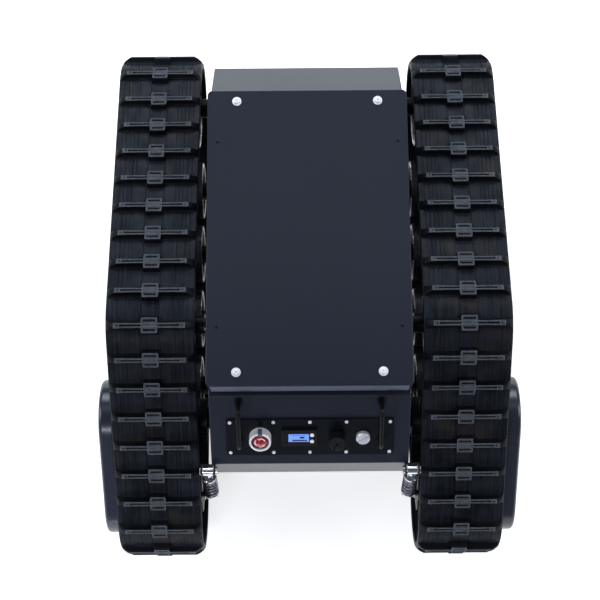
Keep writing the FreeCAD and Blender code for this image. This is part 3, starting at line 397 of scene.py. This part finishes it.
def belt_circles(side):
    """The four circles that the belt goes round, in order."""
    names = ("road_wheel_1", "front_idler", "return_roller")
    circles = [wheel_circle(f"{name}_{side}", f"{name}_turn_{side}") for name in names]
    hub = JOINTS["drive_" + side]["pos_m"]
    circles.append((hub[1], hub[2], SPROCKET_RADIUS))
    return circles


def tangent_angle(a, b):
    """Angle of the outward normal of the straight run from circle a to circle b."""
    heading = math.atan2(b[1] - a[1], b[0] - a[0])
    distance = math.hypot(b[0] - a[0], b[1] - a[1])
    return heading - math.acos((a[2] - b[2]) / distance)


def belt_segments(circles):
    """Wraps and straight runs in order round the loop, each with its length."""
    count = len(circles)
    normals = [tangent_angle(circles[i], circles[(i + 1) % count]) for i in range(count)]
    segments = []
    for index, (y, z, radius) in enumerate(circles):
        start = normals[index - 1]
        end = normals[index]
        while end < start:
            end += 2 * math.pi
        reach = radius + BELT_NEUTRAL
        segments.append(("wrap", (y, z, reach), start, reach * (end - start)))
        ahead = circles[(index + 1) % count]
        far = ahead[2] + BELT_NEUTRAL
        here = (y + reach * math.cos(end), z + reach * math.sin(end))
        there = (ahead[0] + far * math.cos(end), ahead[1] + far * math.sin(end))
        segments.append(("run", (here, there), end,
                         math.hypot(there[0] - here[0], there[1] - here[1])))
    return segments


class Loop:
    """One belt's path: places on it by distance, distance across, and height outwards."""

    def __init__(self, side):
        self.segments = belt_segments(belt_circles(side))
        self.length = sum(segment[3] for segment in self.segments)
        pitch = 2 * math.pi * (SPROCKET_RADIUS + BELT_NEUTRAL) / SPROCKET_TEETH
        self.lugs = round(self.length / pitch)
        self.pitch = self.length / self.lugs
        self.x = middle("track_belt_" + side).x

    def neutral(self, distance):
        """(y, z, angle of the outward normal) of the neutral line."""
        distance %= self.length
        for kind, data, angle, length in self.segments:
            if distance <= length:
                break
            distance -= length
        if kind == "wrap":
            turned = angle + distance / data[2]
            return data[0] + data[2] * math.cos(turned), data[1] + data[2] * math.sin(turned), turned
        share = min(distance / length, 1.0)
        (y0, z0), (y1, z1) = data
        return y0 + (y1 - y0) * share, z0 + (z1 - z0) * share, angle

    def bent(self, distance, across, out):
        """A point of the band itself, which follows the wheels."""
        y, z, angle = self.neutral(distance)
        return Vector((self.x + across, y + out * math.cos(angle), z + out * math.sin(angle)))

    def lug_matrix(self, number):
        """Local X across, Y along the loop, Z outwards, at one tread bar."""
        y, z, angle = self.neutral(FIRST_LUG + number * self.pitch)
        turn = Matrix.Rotation(angle - math.pi / 2, 4, "X")
        return Matrix.Translation((self.x, y, z)) @ turn


def band_half_section(share):
    """(across, out) points of half the band, from the middle of its outer face round the edge.
    share is the place between two tread bars, 0 to 1; the middle panel narrows between them."""
    waist = 0.0150 + 0.0095 * (2 * share - 1) ** 2
    points = [(0.0, PANEL_FACE), (waist - 0.0012, PANEL_FACE), (waist - 0.0005, 0.0040),
              (waist + 0.0005, 0.0040), (waist + 0.0012, BELT_FACE)]
    for groove, depth in GROOVES:
        points += [(groove - 0.0008, BELT_FACE), (groove - 0.0003, BELT_FACE - depth),
                   (groove + 0.0003, BELT_FACE - depth), (groove + 0.0008, BELT_FACE)]
    return points + [(HALF_BELT - 0.0018, PANEL_FACE), (HALF_BELT, 0.0030),
                     (HALF_BELT, -0.0034), (HALF_BELT - 0.0014, -BELT_NEUTRAL)]


def band(loop):
    """The endless rubber band, with moulded grooves between the tread bars."""
    stations = loop.lugs * STATIONS_PER_LUG
    vertices = []
    faces = []
    for station in range(stations):
        share = (station % STATIONS_PER_LUG) / STATIONS_PER_LUG
        distance = FIRST_LUG + loop.length * station / stations
        half = band_half_section(share)
        section = [(-across, out) for across, out in reversed(half[1:])] + half
        vertices += [loop.bent(distance, across, out) for across, out in section]
    count = len(section)
    for station in range(stations):
        here = station * count
        there = ((station + 1) % stations) * count
        for index in range(count):
            after = (index + 1) % count
            faces.append((here + index, here + after, there + after, there + index))
    return vertices, faces, [FRESH] * len(vertices)


def loft(rings, matrix, wear_and_shade=None):
    """Skin closed rings of local points, then cap both ends.  The wear-and-shade list has one value per ring:
    wear, and painted shade where negative.
    """
    wear_and_shade = wear_and_shade or [FRESH] * len(rings)
    count = len(rings[0])
    vertices = [matrix @ Vector(point) for ring in rings for point in ring]
    faces = []
    for level in range(len(rings) - 1):
        low = level * count
        high = low + count
        for index in range(count):
            after = (index + 1) % count
            faces.append((low + index, low + after, high + after, high + index))
    faces.append(tuple(range(count - 1, -1, -1)))
    top = (len(rings) - 1) * count
    faces.append(tuple(top + index for index in range(count)))
    return vertices, faces, [value for value in wear_and_shade for _ in range(count)]


def bar_ring(half_length, half_width, out):
    """Outline of a tread bar at one height: a little wider at its ends."""
    steps = 8
    side = []
    for step in range(steps + 1):
        share = -1 + 2 * step / steps
        side.append((share * half_length, half_width * (1 + 0.16 * share ** 4), out))
    end = [(half_length + half_width * 0.12, half_width * reach, out) for reach in (0.9, -0.9)]
    back = [(x, -y, z) for x, y, z in reversed(side)]
    return list(reversed(side + end + back + [(-x, -y, z) for x, y, z in end]))


def tread_bar(matrix):
    """A transverse bar: sloping shoulders, a worn rim and a sunk channel along its top.
    Each level has a half length, half width, height and wear value; the flank levels hold painted shade instead."""
    # The flank levels are painted shade that darkens the sides of the bar; -0.2 is a lighter painted shade at the
    # top of the shoulder.
    levels = [
        (0.0730, 0.0094, 0.0030, PAINTED_FLANK_SHADE), (0.0722, 0.0072, 0.0058, PAINTED_FLANK_SHADE),
        (0.0712, 0.0058, 0.0078, PAINTED_FLANK_SHADE), (0.0680, 0.0050, 0.0108, PAINTED_FLANK_SHADE),
        (0.0640, 0.0045, 0.0140, PAINTED_FLANK_SHADE), (BAR_HALF - 0.0010, 0.0041, 0.0158, -0.2),
        (BAR_HALF - 0.0016, 0.0039, 0.0164, 0.85), (BAR_HALF - 0.0021, 0.0036, 0.0169, WORN),
        (BAR_HALF - 0.0026, 0.0033, 0.0170, 0.55), (CHANNEL_HALF + 0.0007, 0.0021, 0.0170, 0.50),
        (CHANNEL_HALF + 0.0003, 0.0017, 0.0168, WORN), (CHANNEL_HALF, 0.0014, 0.0145, FRESH),
    ]
    rings = [bar_ring(length, width, out) for length, width, out, _ in levels]
    return loft(rings, matrix, [level[-1] for level in levels])


def block_ring(half_length, near, far, out, direction):
    """Outline of one half of the middle block: wider where it meets the bar."""
    radius = min(0.0012, (far - near) / 3)
    corners = [(half_length, near, -90), (half_length * 0.93, far, 0),
               (-half_length * 0.93, far, 90), (-half_length, near, 180)]
    ring = []
    for x, y, start in corners:
        centre_x = x - math.copysign(radius, x)
        centre_y = y + radius if y == near else y - radius
        for step in range(4):
            angle = math.radians(start + 30 * step)
            ring.append((centre_x + radius * math.cos(angle),
                         direction * (centre_y + radius * math.sin(angle)), out))
    return ring if direction > 0 else ring[::-1]


def block_half(matrix, direction):
    """The raised tab ahead of (or behind) the bar, with its own rim and sunk slot.
    Each level has a half length, near edge, far edge, height and wear value; the flank levels hold painted shade
    instead."""
    # The flank levels are painted shade that darkens the sides of the block; -0.2 is a lighter painted shade at
    # the top of the shoulder.
    levels = [
        (0.0172, 0.0, 0.0165, 0.0020, PAINTED_FLANK_SHADE), (0.0160, 0.0, 0.0150, 0.0060, PAINTED_FLANK_SHADE),
        (0.0152, 0.0, 0.0140, 0.0105, PAINTED_FLANK_SHADE), (0.0146, 0.0, 0.0132, 0.0150, -0.2),
        (0.0143, 0.0003, 0.0129, 0.0160, 0.90), (0.0139, 0.0007, 0.0125, 0.0164, WORN),
        (0.0134, 0.0012, 0.0120, 0.0165, 0.45), (0.0114, 0.0056, 0.0105, 0.0165, 0.40),
        (0.0110, 0.0060, 0.0101, 0.0163, 0.90), (0.0107, 0.0063, 0.0098, 0.0142, FRESH),
    ]
    rings = [block_ring(*outline, direction) for *outline, _ in levels]
    return loft(rings, matrix, [level[-1] for level in levels])


def bar_plug(matrix, end):
    """The small moulding mark near one end of a tread bar."""
    rings = []
    for radius, out, in ((0.0015, 0.0168), (0.0015, 0.0171), (0.0012, 0.0172)):
        rings.append([(end * PLUG_PLACE + radius * math.cos(math.radians(45 * step)),
                       radius * math.sin(math.radians(45 * step)), out) for step in range(8)])
    return loft(rings, matrix)


def drive_cog(matrix):
    """The tapered block inside the belt that the sprocket's teeth push on."""
    levels = [(0.0165, 0.0090, -0.0030), (0.0152, 0.0074, -0.0060), (0.0146, 0.0066, -0.0115),
              (0.0138, 0.0058, -0.0136), (0.0128, 0.0048, -0.0140)]
    rings = []
    for half_length, half_width, out in levels:
        corner = [(half_length, 0.7 * half_width), (0.9 * half_length, half_width)]
        quarter = corner + [(-x, y) for x, y in reversed(corner)]
        rings.append([(x, y, out) for x, y in quarter + [(-x, -y) for x, y in quarter]][::-1])
    return loft(rings, matrix, [0.0, 0.1, 0.2, 0.6, 0.4])


def join_shapes(shapes):
    """One list each of vertices, faces and wear-and-shade values from several."""
    vertices, faces, wear_and_shade = [], [], []
    for shape in shapes:
        start = len(vertices)
        vertices += shape[0]
        faces += [tuple(start + index for index in face) for face in shape[1]]
        wear_and_shade += shape[2]
    return vertices, faces, wear_and_shade


def build_belt(side):
    """The whole belt as one piece."""
    loop = Loop(side)
    shapes = [band(loop)]
    for number in range(loop.lugs):
        matrix = loop.lug_matrix(number)
        shapes += [tread_bar(matrix), block_half(matrix, 1), block_half(matrix, -1),
                   bar_plug(matrix, 1), bar_plug(matrix, -1), drive_cog(matrix)]
    vertices, faces, wear_and_shade = join_shapes(shapes)
    belt = make_piece("rubber_track_" + side, vertices, faces, "rubber", None, 38.0)
    # The attribute holds wear on the rims and painted shade on the flanks.
    wear_and_shade_layer = belt.data.attributes.new("wear_and_shade", "FLOAT", "POINT")
    wear_and_shade_layer.data.foreach_set("value", wear_and_shade)
    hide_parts("track_belt_" + side)
    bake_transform(belt)


# ---- shock coils ---------------------------------------------------------------------------
COIL_TURNS = 6.5
CLOSED_TURNS = 0.7          # of them, lying against each seat
WIRE_RADIUS = 0.0017
STEPS_PER_TURN = 28
WIRE_CORNERS = 10


def coil_spring(side):
    """A round-wire helix between the two spring seats, with a closed turn at each end."""
    low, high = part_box("shock_spring_" + side)
    axis = Vector(JOINTS["shock_stroke_" + side]["axis"]).normalized()
    centre = (low + high) / 2
    mean_radius = (high.x - low.x) / 2 - WIRE_RADIUS
    half = ((high - low).z / 2 - (mean_radius + WIRE_RADIUS) * abs(axis.y)) / abs(axis.z)
    across = Vector((1, 0, 0))
    third = axis.cross(across)
    steps = int(COIL_TURNS * STEPS_PER_TURN)
    open_turns = COIL_TURNS - 2 * CLOSED_TURNS
    rings = []
    for step in range(steps + 1):
        share = step / steps
        eased = min(1.0, max(0.0, (share * COIL_TURNS - CLOSED_TURNS) / open_turns))
        climb = (half - WIRE_RADIUS) * (2 * eased - 1)
        climb += WIRE_RADIUS * 0.9 * math.copysign(min(1.0, 2 * abs(share - 0.5)), share - 0.5)
        climb = max(-half + WIRE_RADIUS, min(half - WIRE_RADIUS, climb))
        angle = 2 * math.pi * COIL_TURNS * share
        outward = across * math.cos(angle) + third * math.sin(angle)
        place = centre + outward * mean_radius + axis * climb
        ring = []
        for corner in range(WIRE_CORNERS):
            turn = 2 * math.pi * corner / WIRE_CORNERS
            ring.append(place + (outward * math.cos(turn) + axis * math.sin(turn)) * WIRE_RADIUS)
        rings.append(ring)
    vertices, faces, _ = loft(rings, Matrix())
    coil = make_piece("shock_coil_" + side, vertices, faces, "dark_steel", None, 60.0)
    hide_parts("shock_spring_" + side)
    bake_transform(coil)


# ---- turned and raised details -------------------------------------------------------------
DOME_RADIUS = 0.0136        # the stop button's mushroom head
DOME_DROP = 0.0048          # from its middle to its rim
DOME_REST = 0.0006          # the dome ends this far below the CAD button's top
BUTTON_SEAT = 0.0143        # its underside above the slope's sheet
SCALLOPS = 16
ARROWS = 3
SCREEN_FACE = 0.0084        # display glass above the slope's sheet
PIVOT_SIDE_X = 0.1825       # inner face of the swing arm's collar and lip
LIP_EDGE_X = 0.1970


def turned(profile, matrix, ripple):
    """Turn (radius, height) points about local Z.  ripple(angle) scales the radius of a point
    that has a third value."""
    steps = 96
    rings = []
    for radius, height, *rippled in profile:
        ring = []
        for step in range(steps):
            angle = 2 * math.pi * step / steps
            reach = radius * (ripple(angle) if rippled else 1.0)
            ring.append((reach * math.cos(angle), reach * math.sin(angle), height))
        rings.append(ring)
    return loft(rings, matrix)


def ring_band(inner, outer, low, high, matrix):
    """A closed ring about local Z with eased outer edges."""
    steps = 72
    bevel = 0.0004
    outline = [(inner, low), (inner, high - bevel), (inner + bevel, high), (outer - bevel, high),
               (outer, high - bevel), (outer, low)]
    count = len(outline)
    vertices = []
    faces = []
    for step in range(steps):
        angle = 2 * math.pi * step / steps
        for radius, height in outline:
            vertices.append(matrix @ Vector((radius * math.cos(angle), radius * math.sin(angle),
                                             height)))
    for step in range(steps):
        here = step * count
        there = ((step + 1) % steps) * count
        for index in range(count):
            after = (index + 1) % count
            faces.append((here + index, there + index, there + after, here + after))
    return vertices, faces


def arc_arrow(radius, start, sweep, half_width, low, high, matrix):
    """A raised curved arrow lying on the button's dome: a bent bar and a pointed head."""
    steps = 10
    neck = start + sweep * 0.72
    rows = []
    for step in range(steps + 1):
        rows.append((start + (neck - start) * step / steps, half_width))
    rows += [(neck, half_width * 2.3), (start + sweep, half_width * 0.1)]
    rings = []
    for angle, half in rows:
        ring = []
        for reach, height in ((radius - half, low), (radius + half, low),
                              (radius + half, high), (radius - half, high)):
            drop = DOME_DROP * (reach / DOME_RADIUS) ** 2
            ring.append((reach * math.cos(angle), reach * math.sin(angle), height - drop))
        rings.append(ring)
    return loft(rings, matrix)


def painted_light_skirt_band():
    """Paler rolled band along the rear skirt of the lid: painted light that stands in for the reflection the skirt
    catches.
    """
    low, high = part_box("top_lid")
    half = high.x - 0.0075
    foot = low.z + 0.0015
    head = high.z - 0.0028
    rings = []
    for inset, out in ((0.0, -0.0006), (0.0, 0.0005), (0.0004, 0.0008)):
        y = low.y - out
        left = -half + inset
        right = half - inset
        rings.append([(left, y, foot + inset), (right, y, foot + inset),
                      (right, y, head - inset), (left, y, head - inset)])
    vertices, faces, _ = loft(rings, Matrix())
    # Painted light: the paler band stands in for the bright reflection on the rear skirt of the lid.
    make_piece("lid_skirt_painted_light", vertices, faces, "hull_paint", "root", finish=PALE_PAINT_AND_PAINTED_LIGHT)


def stop_button():
    """Glossy mushroom with finger scallops round its rim, and three white twist arrows."""
    across, along = slope_coordinates("estop_button")
    matrix = slope_matrix(across, along, BUTTON_SEAT - PANEL_THICKNESS)
    crown = height_on_slope("estop_button") - DOME_REST
    rim = DOME_RADIUS
    edge = crown - DOME_DROP
    dome_start = rim - 0.0006
    profile = [(0.0078, 0.0), (rim - 0.0014, 0.0), (rim - 0.0004, 0.0008, "rippled"),
               (rim, 0.0022, "rippled"), (rim - 0.0001, edge - 0.0010, "rippled"),
               (dome_start, edge + 0.0002, "rippled")]
    for step in range(1, 10):
        reach = dome_start * (1 - step / 10)
        profile.append((reach, crown - DOME_DROP * (reach / rim) ** 2))
    vertices, faces, _ = turned(profile, matrix,
                                lambda angle: 0.99 - 0.01 * math.cos(SCALLOPS * angle))
    button = make_piece("stop_mushroom", vertices, faces, "red_plastic", "estop_button", 50.0)
    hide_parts("estop_button")
    for number in range(ARROWS):
        start = math.radians(360 / ARROWS * number + 20)
        vertices, faces, _ = arc_arrow(0.0088, start, math.radians(74), 0.0007,
                                       crown - 0.0003, crown + 0.0004, matrix)
        make_piece(f"twist_arrow_{number + 1}", vertices, faces, "white_plastic",
                   "estop_button")


def guard_insert():
    """Grey locating key in the notch of the stop button's guard."""
    across, along = slope_coordinates("estop_guard")
    radius = spread("estop_guard").x / 2
    matrix = slope_matrix(across, along + radius - 0.0032, 0.0)
    rings = []
    for half, near, far, out in ((0.0031, -0.0020, 0.0040, 0.0040),
                                 (0.0031, -0.0020, 0.0040, 0.0200),
                                 (0.0027, -0.0016, 0.0036, 0.0205)):
        flare = half * 1.15
        rings.append([(-half, near, out), (half, near, out), (flare, far, out),
                      (-flare, far, out)])
    vertices, faces, _ = loft(rings, matrix)
    make_piece("guard_key", vertices, faces, "aluminium", "root", finish=PALE_PAINT_AND_PAINTED_LIGHT)


def raised_tile(x, along, length, width, out):
    """A thin tile with eased edges on the slope, its left end at x and its foot sunk a little."""
    sunk = 0.0002
    ease = 0.0002
    matrix = slope_matrix(x, along, out - sunk)
    rings = []
    for inset, height in ((0.0, 0.0), (0.0, 0.0003), (ease, 0.0004)):
        right = length - inset
        far = width / 2 - inset
        rings.append([(inset, -far, height), (right, -far, height), (right, far, height),
                      (inset, far, height)])
    return loft(rings, matrix)


def screen_bars():
    """Dark charge bars, a line and a block, standing a hair above the display glass."""
    across, along = slope_coordinates("battery_meter_screen")
    top = SCREEN_FACE - PANEL_THICKNESS
    first_cell = across - 0.30 * spread("battery_meter_screen").x
    shapes = []
    for number in range(6):
        shapes.append(raised_tile(first_cell + 0.0042 * number, along - 0.0052, 0.0036, 0.0030,
                                  top))
    shapes.append(raised_tile(across - 0.012, along + 0.0050, 0.0240, 0.0008, top))
    shapes.append(raised_tile(across + 0.002, along + 0.0008, 0.0080, 0.0034, top))
    vertices, faces, _ = join_shapes(shapes)
    make_piece("charge_bars", vertices, faces, "black_plastic", "root")


def arm_gap_shade(side):
    """Dark collar round the arm's pivot and a dark lip along its upper edge, towards the tub: painted shade that
    closes the gap beside the tub.
    """
    outward = OUTWARD[side]
    body = "swing_arm_" + side
    pivot = Vector(JOINTS["suspension_" + side]["pos_m"])
    hub = Vector(JOINTS["drive_" + side]["pos_m"])
    turn = Matrix.Rotation(math.radians(90 * outward), 4, "Y")
    matrix = Matrix.Translation((outward * PIVOT_SIDE_X, pivot.y, pivot.z)) @ turn
    vertices, faces = ring_band(0.0206, 0.0355, 0.0, 0.0145, matrix)
    make_piece("pivot_shade_collar_" + side, vertices, faces, "black_metal", body,
               finish=PAINTED_SHADE_STEEL)
    along = Vector((0, hub.y - pivot.y, hub.z - pivot.z)).normalized()
    upward = Vector((0, along.z, -along.y))
    rings = []
    for reach, inset in ((0.016, 0.0), (0.080, 0.0), (0.092, 0.004)):
        inner_x = PIVOT_SIDE_X + inset
        ring = []
        for x, lift in ((inner_x, 0.0305), (LIP_EDGE_X, 0.0305), (LIP_EDGE_X, 0.0335),
                        (inner_x, 0.0335)):
            place = pivot + along * reach + upward * lift
            ring.append((outward * x, place.y, place.z))
        rings.append(ring)
    vertices, faces, _ = loft(rings, Matrix())
    make_piece("arm_shade_lip_" + side, vertices, faces, "black_metal", body, finish=PAINTED_SHADE_STEEL)


def wheel_trim(side):
    """Machined bright ring on the inner face of each wheel's rim."""
    for wheel in WHEELS:
        node = f"{wheel}_{side}"
        low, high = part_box(node)
        radius = (high.z - low.z) / 2
        face_x = high.x if side == "left" else low.x
        centre = middle(node)
        turn = Matrix.Rotation(math.radians(-90 * OUTWARD[side]), 4, "Y")
        matrix = Matrix.Translation((face_x, centre.y, centre.z)) @ turn
        vertices, faces = ring_band(radius - 0.0068, radius - 0.0022, -0.001, 0.0011, matrix)
        make_piece(f"rim_ring_{node}", vertices, faces, "steel", node)


# ---- floor, light and camera ---------------------------------------------------------------
def floor():
    """A plain pale floor that glows a little, so that it reads as white paper."""
    mesh = bpy.data.meshes.new("floor")
    reach = 9.0
    mesh.from_pydata([(-reach, -reach, 0), (reach, -reach, 0), (reach, reach, 0),
                      (-reach, reach, 0)], [], [(0, 1, 2, 3)])
    plane = bpy.data.objects.new("floor", mesh)
    bpy.context.scene.collection.objects.link(plane)
    shader = Shader("studio_floor", 0.7)
    tone = shader.ramp(shader.noise(3.0, 5.0), 0.3, 0.7)
    paper = shader.mix(tone, (0.86, 0.86, 0.87), (0.90, 0.90, 0.905))
    shader.link(paper, "Base Color")
    shader.link(paper, "Emission Color")
    shader.set("Emission Strength", 0.75)
    shader.bump(shader.noise(200.0, 3.0), 0.03, 0.0005)
    mesh.materials.append(shader.material)


def soft_box(name, place, target, size, power, colour):
    """A rectangular light at a place, turned towards a target."""
    light = bpy.data.lights.new(name, "AREA")
    light.shape = "RECTANGLE"
    light.size, light.size_y = size
    light.energy = power
    light.color = colour
    lamp = bpy.data.objects.new(name, light)
    bpy.context.scene.collection.objects.link(lamp)
    lamp.location = place
    lamp.rotation_euler = (Vector(target) - Vector(place)).to_track_quat("-Z", "Y").to_euler()
    return lamp


SIDE_TINT = (0.93, 0.96, 1.0)


def studio():
    """A dim room with soft boxes ahead, at the sides and behind, a wide pale backdrop behind
    that the glossy slope mirrors, and a weak scrim overhead."""
    world = bpy.data.worlds.new("studio")
    world.use_nodes = True
    background = world.node_tree.nodes["Background"]
    background.inputs["Color"].default_value = (0.80, 0.86, 1.0, 1.0)
    background.inputs["Strength"].default_value = 0.09
    bpy.context.scene.world = world
    bpy.context.scene.view_settings.view_transform = "Standard"
    soft_box("front_box", (0.0, 2.5, 2.0), (0, 0.7, 0.0), (3.0, 1.2), 85.0, (0.82, 0.91, 1.0))
    soft_box("rear_box", (-0.7, -2.3, 2.5), (0, -0.3, 0.2), (1.2, 0.3), 21.0, (0.93, 0.95, 1.0))
    low_box = soft_box("low_rear_box", (-0.62, -1.75, 0.14), (0.0, -0.25, 0.35), (0.24, 0.16),
                       11.0, (0.90, 0.95, 1.0))
    low_box.visible_glossy = False
    soft_box("rear_backdrop", (0.0, -4.5, 1.1), (0.0, 0.0, 1.1), (9.0, 2.2), 10.0,
             (0.72, 0.84, 1.0))
    soft_box("overhead_scrim", (0.0, 1.0, 3.4), (0.0, 0.0, 0.4), (2.6, 1.0), 8.5,
             (0.80, 0.90, 1.0))
    for side, outward in OUTWARD.items():
        soft_box(side + "_box", (2.8 * outward, 0.2, 2.0), (0.2 * outward, 0, 0.1), (1.2, 2.4),
                 55.0, SIDE_TINT)


CAMERA_PLACE = (-0.0154, -0.6144, 2.7212)
CAMERA_TILT = math.radians(13.65)
CAMERA_ROLL = -0.008
LENS_MM = 84.0
SENSOR_MM = 36.0


def camera():
    """High behind the object, looking down and a little ahead."""
    lens = bpy.data.cameras.new("camera")
    lens.lens = LENS_MM
    lens.sensor_width = SENSOR_MM
    lens.clip_start = 0.05
    viewer = bpy.data.objects.new("camera", lens)
    bpy.context.scene.collection.objects.link(viewer)
    tilt = Matrix.Rotation(CAMERA_TILT, 4, "X")
    roll = Matrix.Rotation(CAMERA_ROLL, 4, "Z")
    viewer.matrix_world = Matrix.Translation(CAMERA_PLACE) @ tilt @ roll
    bpy.context.scene.camera = viewer


# ---- build ---------------------------------------------------------------------------------
dress_cad_nodes()
for track_side in OUTWARD:
    build_belt(track_side)
    coil_spring(track_side)
    wheel_trim(track_side)
    arm_gap_shade(track_side)
painted_light_skirt_band()
stop_button()
guard_insert()
screen_bars()
floor()
studio()
camera()
